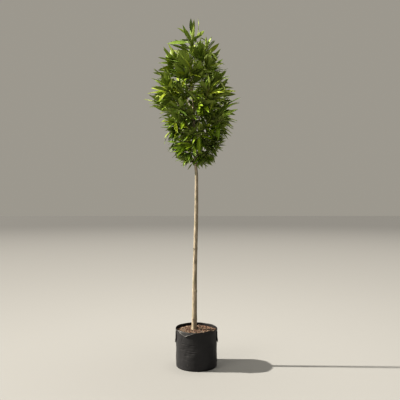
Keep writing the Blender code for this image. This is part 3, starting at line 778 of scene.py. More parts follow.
# %% Bark chips and grit
CHIP_SEED = 23
CHIPS, CHIP_LENGTH, CHIP_FLATNESS = 520, 0.026, 0.26
GRIT, GRIT_LENGTH, GRIT_FLATNESS = 190, 0.008, 0.7
CHIP_COLOURS = ((0.085, 0.055, 0.040), (0.125, 0.072, 0.052), (0.060, 0.046, 0.040), (0.22, 0.165, 0.125))
GRIT_COLOURS = ((0.40, 0.37, 0.31), (0.20, 0.19, 0.19))
CHIP_SIDES = 7
CHIP_LENGTHS, CHIP_WIDTHS, CHIP_THICKNESSES = (0.35, 1.0), (0.4, 0.85), (0.7, 1.3)  # spread of each
CHIP_TILT = 0.32
RING_LEVEL, UPPER_SWELLS = 0.3, (0.75, 1.0)  # how far the two rings are up and down, the upper one's size
CORNER_TURNS, CORNER_REACHES = (-0.25, 0.25), (0.75, 1.1)  # how uneven a ring's corners are
PEAK_ALONG, PEAK_UP = (-0.1, 0.1), (0.42, 0.6)
WALL_KEEP_OFF, STEM_KEEP_OFF = 3 * MM, 0.45  # past a chip's end, and a share of its half length
CHIP_LIFT = 0.22  # of its thickness, from the surface to its middle


def free_place(draw, keep_off):
    """A place on the compost that is clear of the stem and of the bag's wall."""
    while True:
        turn = draw.uniform(0, FULL_TURN)
        x, y, _ = at_bearing(turn, (SOIL_RADIUS - keep_off - WALL_KEEP_OFF) * sqrt(draw.random()))
        if from_foot(x, y) > STEM_KEEP_OFF * keep_off:
            return x, y


def lump(draw, long, wide, thick):
    """A flat many-sided lump: two rings of uneven corners between a top and a bottom one."""
    corners = [(0, 0, -thick / 2)]
    for level, swell in ((-RING_LEVEL, 1.0), (RING_LEVEL, draw.uniform(*UPPER_SWELLS))):
        for k in range(CHIP_SIDES):
            turn = FULL_TURN * (k + draw.uniform(*CORNER_TURNS)) / CHIP_SIDES
            reach = swell * draw.uniform(*CORNER_REACHES) / 2
            corners.append((long * reach * cos(turn), wide * reach * sin(turn), thick * level))
    corners.append((draw.uniform(*PEAK_ALONG) * long, 0, thick * draw.uniform(*PEAK_UP)))
    return np.array(corners)


def lump_faces(sides):
    """The faces of two rings between a bottom and a top corner: the fans at the ends, and the sides."""
    top = 2 * sides + 1
    low = [(1 + k, 1 + (k + 1) % sides) for k in range(sides)]
    fans = [(0, b, a) for a, b in low] + [(top, a + sides, b + sides) for a, b in low]
    return fans, [(a, b, b + sides, a + sides) for a, b in low]


def scatter(gathering, draw, count, longest, flatness, kinds):
    fans, sides = lump_faces(CHIP_SIDES)
    for _ in range(count):
        long = longest * draw.uniform(*CHIP_LENGTHS)
        wide = long * draw.uniform(*CHIP_WIDTHS)
        thick = long * flatness * draw.uniform(*CHIP_THICKNESSES)
        x, y = free_place(draw, long / 2)
        turn = Matrix.Rotation(draw.uniform(0, FULL_TURN), 3, "Z")
        tips = [Matrix.Rotation(draw.gauss(0, CHIP_TILT), 3, axis) for axis in "XY"]
        placed = lump(draw, long, wide, thick) @ np.array(turn @ (tips[0] @ tips[1])).T
        placed += (x, y, soil_height(x, y) + thick * CHIP_LIFT)
        kind = draw.choice(kinds)
        gathering.add(placed, (fans, kind), (sides, kind))


draw = random.Random(CHIP_SEED)
chips = Gathering()
scatter(chips, draw, CHIPS, CHIP_LENGTH, CHIP_FLATNESS, (0, 0, 1, 1, 2, 3))
scatter(chips, draw, GRIT, GRIT_LENGTH, GRIT_FLATNESS, (4, 4, 5))
chip_finishes = [plain_finish(f"chip_{k}", colour, 0.9, 0.25) for k, colour in enumerate(CHIP_COLOURS)]
chip_finishes += [plain_finish(f"grit_{k}", colour, 0.7) for k, colour in enumerate(GRIT_COLOURS)]
chips.piece("bark_chips", chip_finishes, ["compost"])

# %% [markdown]
# ## The stem
# The stem's line and thickness are the solid's. Young sweet chestnut bark is smooth and olive grey,
# with pale breathing pores, faint upright ripples and the healed scars of branches that were cut
# off. The ripples and swellings move the corners of a fine tube. The pores and scars are too small for
# its grid, so they are little meshes of their own that sit in its surface.

# %% The stem's line
TRUNK_STATIONS = (
    (SOIL_TOP + GAP, -0.0196, 0.000, 0.0258),
    (SOIL_TOP + 0.025, -0.0196, 0.000, 0.0236),
    (SOIL_TOP + 0.080, -0.0178, 0.000, 0.0222),
    (0.640, -0.0156, 0.002, 0.0202),
    (0.800, -0.0140, 0.003, 0.0188),
    (1.000, -0.0090, 0.004, 0.0178),
    (1.240, -0.0028, 0.004, 0.0170),
    (1.400, -0.0004, 0.003, 0.0158),
    (1.620, 0.0006, 0.000, 0.0136),
    (1.870, -0.0200, -0.004, 0.0112),
    (2.200, -0.0270, 0.000, 0.0082),
    (2.600, -0.0470, 0.003, 0.0050),
)
TRUNK_RING_STEP = 0.160
TRUNK_SIDES = 10
KNOTS = (0.393, 0.632, 0.995)
KNOT_SWELLING = 0.0016
KNOT_HALF_HEIGHT = 0.018
TRUNK_TOP = TRUNK_STATIONS[-1][0]


def read_table(rows, at):
    """The values of a table of (position, values...) at a position, eased between its rows."""
    if at <= rows[0][0]:
        return rows[0][1:]
    for lower, upper in zip(rows, rows[1:]):
        if at <= upper[0]:
            share = (at - lower[0]) / (upper[0] - lower[0])
            return tuple(between(a, b, share) for a, b in zip(lower[1:], upper[1:]))
    return rows[-1][1:]


def trunk_centre(height):
    across, back, _ = read_table(TRUNK_STATIONS, height)
    return Vector((across, back, height))


def trunk_radius(height):
    radius = read_table(TRUNK_STATIONS, height)[2]
    for knot in KNOTS:
        closeness = 1 - abs(height - knot) / KNOT_HALF_HEIGHT
        radius += KNOT_SWELLING * max(0.0, closeness)
    return radius


# %% Bark relief on the stem
STEM_COLUMNS = 40
STEM_STEP = 5.0 * MM
STEM_SUNK = 3.0 * MM  # the bark goes this far into the loose top of the compost
BARK_RIPPLE, BARK_SWELLING, YEAR_RING, BARK_IN = 0.42, 0.55, 0.5, 0.3  # millimetres
RIPPLE_SIZE, FINE_RIPPLE_SIZE, SWELLING_SIZE = 0.0055, 0.0026, 0.11
RIPPLE_UPRIGHT, FINE_UPRIGHT = 0.16, 0.3  # of the height, so that ripples run up the stem
FINE_SHARE, FINE_SEED, SWELLING_SEED = 0.6, 4.0, 2.0
RELIEF_RADIUS = 0.02  # of the round in the noise that the bark is read from
FLARE_RIDGES, FLARE_TURN = 5, 0.7
FLARE_PROUD, FLARE_HEIGHT = 1.3 * MM, 0.022
YEAR_RINGS = (0.88, 1.33, 1.61)  # heights where one year's growth ended
YEAR_RING_WIDTH = 0.0035
YEAR_RING_STEPS = (-3.3, -1.6, 0.1, 1.7, 3.4)  # millimetres from a year ring to the mesh's extra rings
LEAST_STEP = 0.8 * MM


def bark_relief(turn, point, radius):
    """Upright ripples, slow swellings, ridges at the foot, and rings where a year's growth ended."""
    x, y, z = at_bearing(turn, RELIEF_RADIUS, point.z)
    fine = bumpiness((x, y, z * FINE_UPRIGHT), FINE_RIPPLE_SIZE, FINE_SEED)
    ripple = bumpiness((x, y, z * RIPPLE_UPRIGHT), RIPPLE_SIZE) + FINE_SHARE * fine
    swelling = bumpiness((x, y, z), SWELLING_SIZE, SWELLING_SEED)
    flare = cos(FLARE_RIDGES * turn + FLARE_TURN) * exp(-(z - SOIL_TOP) / FLARE_HEIGHT)
    rings = sum(hump(z - height, YEAR_RING_WIDTH) for height in YEAR_RINGS)
    proud = BARK_RIPPLE * ripple + BARK_SWELLING * swelling + YEAR_RING * rings - BARK_IN
    return MM * proud * (radius / TRUNK_FOOT_RADIUS) + FLARE_PROUD * flare


def stem_heights():
    heights = [*np.arange(SOIL_TOP - STEM_SUNK, TRUNK_TOP, STEM_STEP), TRUNK_TOP]
    heights += [height + step * MM for height in YEAR_RINGS for step in YEAR_RING_STEPS]
    ordered = sorted(heights)
    return [ordered[0]] + [b for a, b in zip(ordered, ordered[1:]) if b - a > LEAST_STEP]


stem = Gathering()
points = [trunk_centre(height) for height in stem_heights()]
stem.add_tube(tube(points, [trunk_radius(point.z) for point in points], STEM_COLUMNS, bark_relief))

# %% Scars and pores on the bark
SCAR_OUTLINE = ((12.0, -1.2), (9.5, 0.5), (7.2, 2.0), (5.2, 2.2), (3.8, 1.0), (2.4, 0.4))  # millimetres
SCAR_TURNS = (radians(-118), radians(-62), radians(-140))
SCAR_STEPS = 22
SCAR_WIDTH, SCAR_HEIGHT = 0.85, 1.25
SCAR_LOBES, SCAR_UNEVEN, SCAR_VARIES = 3, 0.10, 40  # its uneven edge, turned another way on each scar
PORE_SEED = 31
PORES = 420
PORE_HEIGHTS = (SOIL_TOP + 0.02, 1.9)
PORE_HALF_WIDTHS, PORE_HALF_HEIGHTS = (1.2, 3.0), (0.45, 0.8)  # millimetres
PORE_STEPS = 8
PORE_PROUD, PORE_SUNK = 0.75 * MM, 0.6 * MM
BARK_DARK, BARK_MID, BARK_PALE = (0.100, 0.082, 0.058), (0.252, 0.210, 0.155), (0.405, 0.352, 0.275)
BARK_OLIVE = (0.135, 0.132, 0.075)


def on_stem(height, bearing, out, across=0.0, up=0.0):
    """A place on the bark, moved out from it, sideways round it and up along it."""
    outward = Vector(at_bearing(bearing))
    radius = trunk_radius(height)
    bend = radius - sqrt(max(radius**2 - across**2, 0))
    return trunk_centre(height) + outward * (radius - bend + out) + UP.cross(outward) * across + UP * up


def scar_place(height, bearing):
    """A function that gives the places round the healed collar of a cut branch."""

    def place(turn, distance, proud):
        reach = distance * (1 + SCAR_UNEVEN * sin(SCAR_LOBES * turn + height * SCAR_VARIES)) * MM
        across, up = reach * cos(turn) * SCAR_WIDTH, reach * sin(turn) * SCAR_HEIGHT
        return on_stem(height, bearing, proud * MM, across, up)

    return place


for height, bearing in zip(KNOTS, SCAR_TURNS):
    add_relief(stem, scar_place(height, bearing), SCAR_OUTLINE, SCAR_STEPS, 2)

draw = random.Random(PORE_SEED)
for _ in range(PORES):
    height = between(*PORE_HEIGHTS, draw.random())
    bearing = draw.uniform(-pi, pi)
    half_width = draw.uniform(*PORE_HALF_WIDTHS) * MM
    half_height = draw.uniform(*PORE_HALF_HEIGHTS) * MM
    corners = []
    for k in range(PORE_STEPS):
        across, up, _ = at_bearing(FULL_TURN * k / PORE_STEPS)
        corners.append(on_stem(height, bearing, -PORE_SUNK, half_width * across, half_height * up))
    corners.append(on_stem(height, bearing, PORE_PROUD))
    stem.add(corners, ([(k, (k + 1) % PORE_STEPS, PORE_STEPS) for k in range(PORE_STEPS)], 1))

bark = plain_finish("bark", BARK_MID, 0.75)
mottle(bark, 0.010, [(0.28, BARK_DARK), (0.50, BARK_MID), (0.74, BARK_PALE)], stretch=6.0, detail=6.0)
overlay(bark, 0.09, BARK_OLIVE, 0.52, 0.75)
grain(bark, 0.0022, 0.5 * MM, stretch=5.0, strength=0.6)
wear(bark, 0.03, 0.62, 0.88)
pore = plain_finish("bark_pore", (0.40, 0.34, 0.26), 0.85)
scar_dark = plain_finish("scar_middle", (0.065, 0.048, 0.032), 0.9)
stem.piece("trunk_bark", [bark, pore, scar_dark], ["trunk"], sharp_angle=60)

# %% [markdown]
# ## Boughs by rule
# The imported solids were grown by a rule: shoots climb the stem in a spiral, each turned by the golden
# angle from the last, and each is a curve that leaves the stem low and turns up. The same rule, with the
# same numbers, is written again here, so that a limb drawn here lies in its solid. A shoot is drawn in
# two parts: the bough, which starts inside the stem, and then the leafy part as far as its tip.

# %% Shoots
CROWN_REACH = (  # height, and how far the crown reaches to the left and to the right
    (1.655, 0.100, 0.095),
    (1.730, 0.175, 0.195),
    (1.800, 0.235, 0.245),
    (1.900, 0.265, 0.310),
    (2.000, 0.270, 0.365),
    (2.060, 0.305, 0.395),
    (2.200, 0.380, 0.420),
    (2.300, 0.445, 0.425),
    (2.420, 0.390, 0.350),
    (2.500, 0.350, 0.330),
    (2.600, 0.310, 0.315),
    (2.700, 0.245, 0.280),
    (2.800, 0.210, 0.205),
    (2.860, 0.145, 0.130),
    (2.930, 0.105, 0.080),
    (2.990, 0.055, 0.060),
)
CROWN_FOOT = CROWN_REACH[0][0]
CROWN_TOP = CROWN_REACH[-1][0]
LEADER_TOP = 2.828
BOUGHS = 20
GOLDEN_ANGLE = radians(137.508)
FIRST_TIP, LAST_TIP = 1.870, 2.700
LOWEST_SPREAD, TOP_SPREAD = radians(62), radians(28)
LEAF_REACH = 0.130
BOUGH_SHARE = 0.42
BOUGH_THICKNESS = 0.48
BOUGH_TIP_RADIUS = 0.0042
BEND_OUT, BEND_UP = 0.56, 0.36
FOOT_SPURS = 4
FOOT_SPUR_HEIGHTS = (1.775, 1.715)
SPUR_LENGTH = 0.120
SPUR_SPREAD = radians(58)
SPUR_RADIUS = 0.0042
SPUR_SAG = 0.06
FIRST_SPUR_BEARING = radians(235)
LEADER_LEAN = 0.007
LEADER_RADIUS = 0.0048
LEADER_GAP = 0.0006


def crown_reach(height, rightward):
    return between(*read_table(CROWN_REACH, height), (1 + rightward) / 2)


class Shoot:
    """One curve that leaves the trunk low and turns up towards its tip, with the thickness at its foot."""

    def __init__(self, name, start, tip, bend, radius):
        self.name = name
        self.start = start
        self.tip = tip
        self.bend = bend
        self.radius = radius

    def at(self, share):
        rest = 1 - share
        return self.start * rest**2 + self.bend * 2 * share * rest + self.tip * share**2

    def points(self, low, high, steps):
        return [self.at(between(low, high, k / steps)) for k in range(steps + 1)]


def bough_shoot(index):
    share = index / (BOUGHS - 1)
    tip_height = between(FIRST_TIP, LAST_TIP, share)
    bearing = index * GOLDEN_ANGLE
    reach = crown_reach(tip_height, cos(bearing)) - LEAF_REACH
    rise = reach / tan(between(LOWEST_SPREAD, TOP_SPREAD, share))
    start = trunk_centre(tip_height - rise)
    out = Vector(at_bearing(bearing))
    tip = start + out * reach + UP * rise
    bend = start + out * reach * BEND_OUT + UP * rise * BEND_UP
    return Shoot(f"{index + 1:02d}", start, tip, bend, trunk_radius(start.z) * BOUGH_THICKNESS)


def spur_shoot(index):
    start = trunk_centre(FOOT_SPUR_HEIGHTS[index % 2])
    out = Vector(at_bearing(FIRST_SPUR_BEARING + FULL_TURN * index / FOOT_SPURS))
    tip = start + SPUR_LENGTH * (out * sin(SPUR_SPREAD) + UP * cos(SPUR_SPREAD))
    bend = (start + tip) / 2 + out * SPUR_LENGTH * SPUR_SAG
    return Shoot(f"foot_{index + 1}", start, tip, bend, SPUR_RADIUS)


def leader_shoot():
    start = trunk_centre(TRUNK_TOP) + UP * LEADER_GAP
    tip = Vector((start.x + LEADER_LEAN, start.y, LEADER_TOP))
    return Shoot("leader", start, tip, (start + tip) / 2, LEADER_RADIUS)


boughs = [bough_shoot(index) for index in range(BOUGHS)]
leader = leader_shoot()
shoots = [(shoot, BOUGH_SHARE) for shoot in boughs]  # each with the share of it that is its bough
shoots += [(shoot, 0.0) for shoot in [*map(spur_shoot, range(FOOT_SPURS)), leader]]
print(len(shoots), "shoots, the longest", round(max((s.tip - s.start).length for s, _ in shoots), 3), "m")

# %% Draw the boughs
BOUGH_COLUMNS = 14
BOUGH_RING_STEP, FEWEST_RINGS = 4.0 * MM, 8
COLLAR_SHARE, COLLAR_WIDTH = 0.45, 9.0 * MM
BOUGH_BUMPS = ((0.10, 0.006, 0.0), (0.07, 0.02, 6.0))  # share of the thickness, size, seed
BUMPS_RADIUS, BUMPS_UPRIGHT = 0.01, 0.5
YOUNG_BARK = ((0.30, (0.085, 0.070, 0.035)), (0.55, (0.170, 0.140, 0.070)), (0.80, (0.26, 0.22, 0.13)))


def bough_relief(turn, point, radius):
    x, y, _ = at_bearing(turn, BUMPS_RADIUS)
    place = (x + point.x, y + point.y, point.z * BUMPS_UPRIGHT)
    return radius * sum(share * bumpiness(place, size, seed) for share, size, seed in BOUGH_BUMPS)


def bough_rings(shoot):
    """The bough's line from inside the stem to its tip, and its thickness with the collar at its foot."""
    length = (shoot.at(BOUGH_SHARE) - shoot.start).length
    steps = max(FEWEST_RINGS, round(length / BOUGH_RING_STEP))
    points = shoot.points(0.0, BOUGH_SHARE, steps)
    radii = []
    for k, point in enumerate(points):
        off = max(0.0, (point - shoot.start).length - trunk_radius(shoot.start.z))
        collar = 1 + COLLAR_SHARE * exp(-off / COLLAR_WIDTH)
        radii.append(between(shoot.radius, BOUGH_TIP_RADIUS, k / steps) * collar)
    return points, radii


limbs = Gathering()
for shoot in boughs:
    limbs.add_tube(tube(*bough_rings(shoot), BOUGH_COLUMNS, bough_relief))
young_bark = plain_finish("young_bark", YOUNG_BARK[1][1], 0.6)
mottle(young_bark, 0.012, YOUNG_BARK)
grain(young_bark, 0.0025, 0.4 * MM, strength=0.5)
limbs.piece("bough_bark", [young_bark], [f"bough_{s.name}" for s in boughs], sharp_angle=60)

# %% [markdown]
# ## Where twigs and leaves grow
# Leaves follow one another round a twig by the golden angle. Each is tried with its own tilt and roll.
# It stays if it lies within the crown, keeps to the space of its own mass, and touches no limb and no
# other leaf. If it doesn't fit it is turned a little, then drawn smaller, and at last left out.

# %% Numbers of the rule
SEED = 22
MASS_CENTRE = 0.60
STEM_STEPS = 3
TWIG_SIDES = 3
TWIG_RADIUS = 0.0036
TWIG_TIP_RADIUS = 0.0030
TWIG_LENGTHS = (0.110, 0.065)
TWIG_SHARES = (0.06, 0.30, 0.54, 0.78)
TWIG_OPENING = radians(54)
TWIG_TURNS = 6
STEM_LEAF_STEP, FEWEST_STEM_LEAVES = 0.020, 5
STEM_LEAVES_FROM, SPUR_LEAVES_FROM, STEM_LEAVES_TO = 0.14, 0.30, 0.985
TWIG_LEAVES = 5
TWIG_LEAVES_FROM, TWIG_LEAVES_TO = 0.30, 0.97
BLADE_LENGTH = 0.195
BLADE_LENGTH_SPREAD = (0.88, 1.10)
BLADE_WIDTH_SHARE = 0.29
BLADE_ROLL = 0.8
BLADE_SINK = 0.0010
BLADE_WIDEST = 0.46
BLADE_KEEL_AT = 0.20
BLADE_KEEL = 0.015
BLADE_ARCH = 0.007
BLADE_DROOP = 0.022
BLADE_FACES = ((0, 2, 1), (1, 2, 4), (0, 1, 3), (0, 3, 2), (1, 4, 3), (2, 3, 4))
WIDEST_OPENING, TIP_OPENING = radians(82), radians(22)
OPENING_EASE = 1.3
LEADER_FIRST_TURN = 0.0
LEADER_TIP_OPENING = radians(8)
LEADER_OPENING_EASE = 4.5
OPENING_SPREAD = 0.12
YOUNG_SHARE, YOUNG_EASE = 0.80, 3
LOWEST_LIFT, TOP_LIFT = -0.95, 0.55
LEAF_TURNS = (0.0, 0.5, -0.5, 1.0, -1.0, 1.5, -1.5, 2.1, -2.1, 2.7)
SMALLER_TRIES = (1.0, 0.80, 0.62)
CELL_MARGIN = 0.0008
TINY = 0.00001
print(round(degrees(GOLDEN_ANGLE), 1), "degrees from one leaf to the next")

# %% [markdown]
# For the tests a leaf is a simple six-faced wedge, and a limb is a tube with few sides. The faces of each
# are kept in a tree of boxes, so that two shapes that are far apart are told apart at once.

# %% What a leaf must not touch


def tube_solid(points, radii, sides):
    corners, faces, ends = tube(points, radii, sides)
    return BVHTree.FromPolygons(corners, faces.tolist() + ends)


def touches(solid, others):
    return any(solid.overlap(other) for other in others)


def square_to(direction, toward):
    """The part of one direction that is square to another, at unit length."""
    rest = toward - direction * toward.dot(direction)
    if rest.length < TINY:
        rest = direction.orthogonal()
    return rest.normalized()


def opened(slope, turn, opening):
    """A direction that opens from a twig's own by one angle, turned round it by another."""
    side = Matrix.Rotation(turn, 3, slope) @ square_to(slope, UP)
    return slope * cos(opening) + side * sin(opening)


def wedge_points(root, heading, face, length, width_share):
    """The five corners of a leaf's wedge: root, widest place left and right, keel and tip."""
    side = heading.cross(face) * length * width_share / 2
    middle = root + (heading * BLADE_WIDEST + face * BLADE_ARCH) * length
    keel = root + (heading * BLADE_KEEL_AT - face * BLADE_KEEL) * length
    tip = root + (heading - face * BLADE_DROOP) * length
    return [root - heading * BLADE_SINK, middle + side, middle - side, keel, tip]


def off_stem(point):
    """How far a point is from the stem's line on the level, and how much of that is to the right."""
    away = point - trunk_centre(min(point.z, TRUNK_TOP))
    return hypot(away.x, away.y), away.x


def crown_share(height):
    return (height - CROWN_FOOT) / (CROWN_TOP - CROWN_FOOT)


def within_crown(point, reach_share):
    distance, rightward = off_stem(point)
    reach = crown_reach(point.z, rightward / max(distance, TINY))
    return CROWN_FOOT <= point.z <= CROWN_TOP and max(distance, TINY) <= reach_share * reach


def mass_centre(shoot, low):
    return shoot.at(between(low, 1.0, MASS_CENTRE))


def place_on(line, share):
    """The point at a share of a line, and the way the line runs there."""
    place = share * (len(line) - 1)
    index = min(int(place), len(line) - 2)
    slope = (line[index + 1] - line[index]).normalized()
    return line[index].lerp(line[index + 1], place - index), slope


def even_shares(low, high, count):
    return [between(low, high, k / (count - 1)) for k in range(count)]


# %% [markdown]
# A mass first puts out its side twigs, and then leaves down the stem and down every twig, from the tip
# inwards. The solids come from this rule and these random draws too, so a leaf here and its wedge in
# the solid have the same place.

# %% A mass of twigs and leaves


class Mass:
    """The twigs and leaves of one shoot, which keep to what is nearer to its centre than to any other's."""

    def __init__(self, shoot, low, sites, guards):
        self.shoot = shoot
        self.low = low
        self.centre = mass_centre(shoot, low)
        self.walls = []
        for site in sites:
            across = site - self.centre
            if across.length > TINY:
                self.walls.append((across.normalized(), across.length / 2 - CELL_MARGIN))
        self.guards = guards
        self.random = random.Random(f"{SEED} {shoot.name}")
        self.turn = self.random.uniform(0, FULL_TURN)
        self.width_share = BLADE_WIDTH_SHARE
        self.reach_share = 1.0
        self.openings = (WIDEST_OPENING, TIP_OPENING)
        self.opening_ease = OPENING_EASE
        if shoot is leader:  # its topmost leaf stands upright, and the next ones soon open out
            self.turn = LEADER_FIRST_TURN
            self.openings = (WIDEST_OPENING, LEADER_TIP_OPENING)
            self.opening_ease = LEADER_OPENING_EASE
        self.blades = []
        self.leaves = []
        self.twigs = []

    def keeps_in(self, points):
        for point in points:
            away = point - self.centre
            if any(away.dot(across) > limit for across, limit in self.walls):
                return False
        return all(within_crown(point, self.reach_share) for point in points)

    def has_room(self, twig, radii):
        """Whether a twig keeps to the mass's own space and touches no limb."""
        return self.keeps_in(twig) and not touches(tube_solid(twig, radii, TWIG_SIDES), self.guards)

    def fits(self, points):
        if not self.keeps_in(points):
            return False
        blade = BVHTree.FromPolygons(points, BLADE_FACES)
        if touches(blade, self.guards) or touches(blade, self.blades):
            return False
        self.blades.append(blade)
        return True

    def grow_leaf(self, line, share, full_length, spray):
        """Puts a leaf on a stem or twig, turned on by the golden angle from the last one."""
        self.turn += GOLDEN_ANGLE
        root, slope = place_on(line, share)
        opening = between(*self.openings, share**self.opening_ease)
        opening += self.random.uniform(-OPENING_SPREAD, OPENING_SPREAD)
        lift = between(LOWEST_LIFT, TOP_LIFT, crown_share(root.z))
        roll = self.random.uniform(-BLADE_ROLL, BLADE_ROLL)
        length = full_length * self.random.uniform(*BLADE_LENGTH_SPREAD)
        for smaller in SMALLER_TRIES:
            for turn in LEAF_TURNS:
                heading = opened(slope, self.turn + turn, opening)
                heading.z += lift
                heading.normalize()
                face = square_to(heading, slope + UP)
                face.rotate(Matrix.Rotation(roll, 3, heading))
                if self.fits(wedge_points(root, heading, face, length * smaller, self.width_share)):
                    self.leaves.append((root, heading, face, length * smaller, share, spray))
                    return

    def grow_leaves(self, line, shares, spray):
        """Leaves down a line from its tip, the young ones near the tip smaller."""
        for share in reversed(shares):
            length = BLADE_LENGTH * between(1.0, YOUNG_SHARE, share**YOUNG_EASE)
            self.grow_leaf(line, share, length, spray)

    def grow_twig(self, share):
        """A side twig, turned on along the stem until it has room."""
        root, slope = place_on(self.stem, share)
        self.turn += GOLDEN_ANGLE
        for attempt in range(TWIG_TURNS):
            heading = opened(slope, self.turn + attempt, TWIG_OPENING)
            twig = [root, root + heading * between(*TWIG_LENGTHS, share)]
            if self.has_room(twig, (TWIG_RADIUS, TWIG_TIP_RADIUS)):
                self.twigs.append(twig)
                return

    def grow(self):
        """The stem, its twigs and all of their leaves, as the solid has them."""
        self.stem = self.shoot.points(self.low, 1.0, STEM_STEPS)
        leaves_from = SPUR_LEAVES_FROM
        if self.low > 0:
            self.stem[0] += (self.stem[1] - self.stem[0]).normalized() * GAP
            leaves_from = STEM_LEAVES_FROM
        length = sum((b - a).length for a, b in zip(self.stem, self.stem[1:]))
        for share in TWIG_SHARES:
            self.grow_twig(share)
        count = max(FEWEST_STEM_LEAVES, round(length / STEM_LEAF_STEP))
        self.grow_leaves(self.stem, even_shares(leaves_from, STEM_LEAVES_TO, count), 0)
        for number, twig in enumerate(self.twigs):
            self.grow_leaves(twig, even_shares(TWIG_LEAVES_FROM, TWIG_LEAVES_TO, TWIG_LEAVES), number + 1)


# %% Grow the solids' own leaves
LIMB_MARGIN = 0.0012
BOUGH_STEPS = 4
BOUGH_SIDES = 6
GUARD_TIP_RADIUS = 0.0050


def limb_guard(points, radii, sides):
    return tube_solid(points, [radius + LIMB_MARGIN for radius in radii], sides)


def trunk_as_solid():
    """The trunk with the rings that the solid has: at its stations, at even steps and at its knots."""
    stations = [station[0] for station in TRUNK_STATIONS]
    heights = set(stations)
    steps = ceil((TRUNK_TOP - SOIL_TOP) / TRUNK_RING_STEP)
    for k in range(1, steps):
        height = between(SOIL_TOP, TRUNK_TOP, k / steps)
        if min(abs(height - other) for other in stations) > TRUNK_RING_STEP / 3:
            heights.add(height)
    heights |= {knot + way * KNOT_HALF_HEIGHT for knot in KNOTS for way in (-1, 0, 1)}
    ordered = sorted(heights)
    return limb_guard([trunk_centre(z) for z in ordered], [trunk_radius(z) for z in ordered], TRUNK_SIDES)


sites = [mass_centre(shoot, low) for shoot, low in shoots]
trunk_guard = trunk_as_solid()
bough_guards = []
for shoot in boughs:
    line = shoot.points(0.0, BOUGH_SHARE, BOUGH_STEPS)
    bough_guards.append(limb_guard(line, [shoot.radius, *[GUARD_TIP_RADIUS] * BOUGH_STEPS], BOUGH_SIDES))
stem_guards = {}
for shoot, low in shoots:
    line = shoot.points(low, 1.0, STEM_STEPS)
    stem_guards[shoot.name] = limb_guard(line, [SPUR_RADIUS] * len(line), BOUGH_SIDES)
masses = []
for shoot, low in shoots:
    own_foot = [trunk_guard] if shoot is not leader else []
    others = [guard for name, guard in stem_guards.items() if name != shoot.name]
    mass = Mass(shoot, low, sites, own_foot + bough_guards + others)
    mass.grow()
    masses.append(mass)
print(sum(len(mass.leaves) for mass in masses), "leaves on", sum(len(mass.twigs) for mass in masses), "twigs")

# %% Check them against the solids
worst = 0.0
for mass in masses:
    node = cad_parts[f"foliage_{mass.shoot.name}"]
    places = np.array([vert.co for vert in node.data.vertices])
    for root, heading, face, length, _, _ in mass.leaves:
        tip = np.array(root + (heading - face * BLADE_DROOP) * length)
        worst = max(worst, np.linalg.norm(places - tip, axis=1).min())
print("leaf tips lie within", round(worst / MM, 2), "mm of the solids' own")

# %% [markdown]
# ## Finer twigs
# The solids stop at twigs as thick as a pencil, because a solid may have only so many faces. A real
# shoot goes on to thinner side twigs, and ends in a tuft of small young leaves. They grow by the
# same rule here, with the same tests, in the room that the first leaves left.

# %% Grow the finer twigs and young leaves
FINE_SHARES = (0.30, 0.52, 0.74, 0.94)
FINE_LENGTHS = (0.052, 0.034)
FINE_RADIUS = 0.0017
FINE_LEAVES = 3
FINE_LEAVES_FROM, FINE_LEAVES_TO = 0.99, 0.45
FINE_BLADE = 0.145
FINE_WIDTH_SHARE = 0.22
TUFT_LEAVES = 4
TUFT_AT = 0.995
TUFT_BLADE = 0.120
TUFT_OPENINGS = (radians(30), radians(20))
INNER_LEAVES = 9
INNER_LEAVES_FROM, INNER_LEAVES_TO = 0.20, 0.92
INNER_BLADE = 0.125
FINE_REACH = (0.88, 0.74)  # of the crown's reach, at its foot and at its top


def grow_fine(mass):
    """Finer twigs on the twigs and the stem, tufts at their tips, and small leaves between the large."""
    mass.random = random.Random(f"{SEED} fine {mass.shoot.name}")
    mass.width_share = FINE_WIDTH_SHARE
    mass.reach_share = between(*FINE_REACH, crown_share(mass.centre.z))
    mass.fine_twigs = []
    mass.first_fine = len(mass.leaves)
    bearers = [mass.stem, *mass.twigs]
    if mass.shoot is leader:
        return
    mass.openings = TUFT_OPENINGS
    for spray, bearer in enumerate(bearers):
        for _ in range(TUFT_LEAVES):
            mass.grow_leaf(bearer, TUFT_AT, TUFT_BLADE, spray)
    mass.openings = (WIDEST_OPENING, TIP_OPENING)
    for spray, bearer in enumerate(bearers):
        for share in FINE_SHARES:
            root, slope = place_on(bearer, share)
            mass.turn += GOLDEN_ANGLE
            heading = opened(slope, mass.turn, TWIG_OPENING)
            fine = [root, root + heading * between(*FINE_LENGTHS, share)]
            if mass.has_room(fine, (FINE_RADIUS, FINE_RADIUS)):
                before = len(mass.leaves)
                for at in even_shares(FINE_LEAVES_FROM, FINE_LEAVES_TO, FINE_LEAVES):
                    mass.grow_leaf(fine, at, FINE_BLADE, spray)
                if len(mass.leaves) > before:
                    mass.fine_twigs.append(fine)
        for k in range(INNER_LEAVES):
            at = between(INNER_LEAVES_FROM, INNER_LEAVES_TO, (k + 0.5) / INNER_LEAVES)
            mass.grow_leaf(bearer, at, INNER_BLADE, spray)


for mass in masses:
    grow_fine(mass)
print(sum(len(mass.leaves) - mass.first_fine for mass in masses), "more leaves")
print(sum(len(mass.fine_twigs) for mass in masses), "finer twigs")

# %% [markdown]
# ## Drawing twigs and buds
# Shoots and twigs of this summer are olive green and slightly swollen where a leaf leaves them, with
# a small bud in each leaf's corner. Thousands of small tubes are joined into one piece with a plain
# colour for each kind.

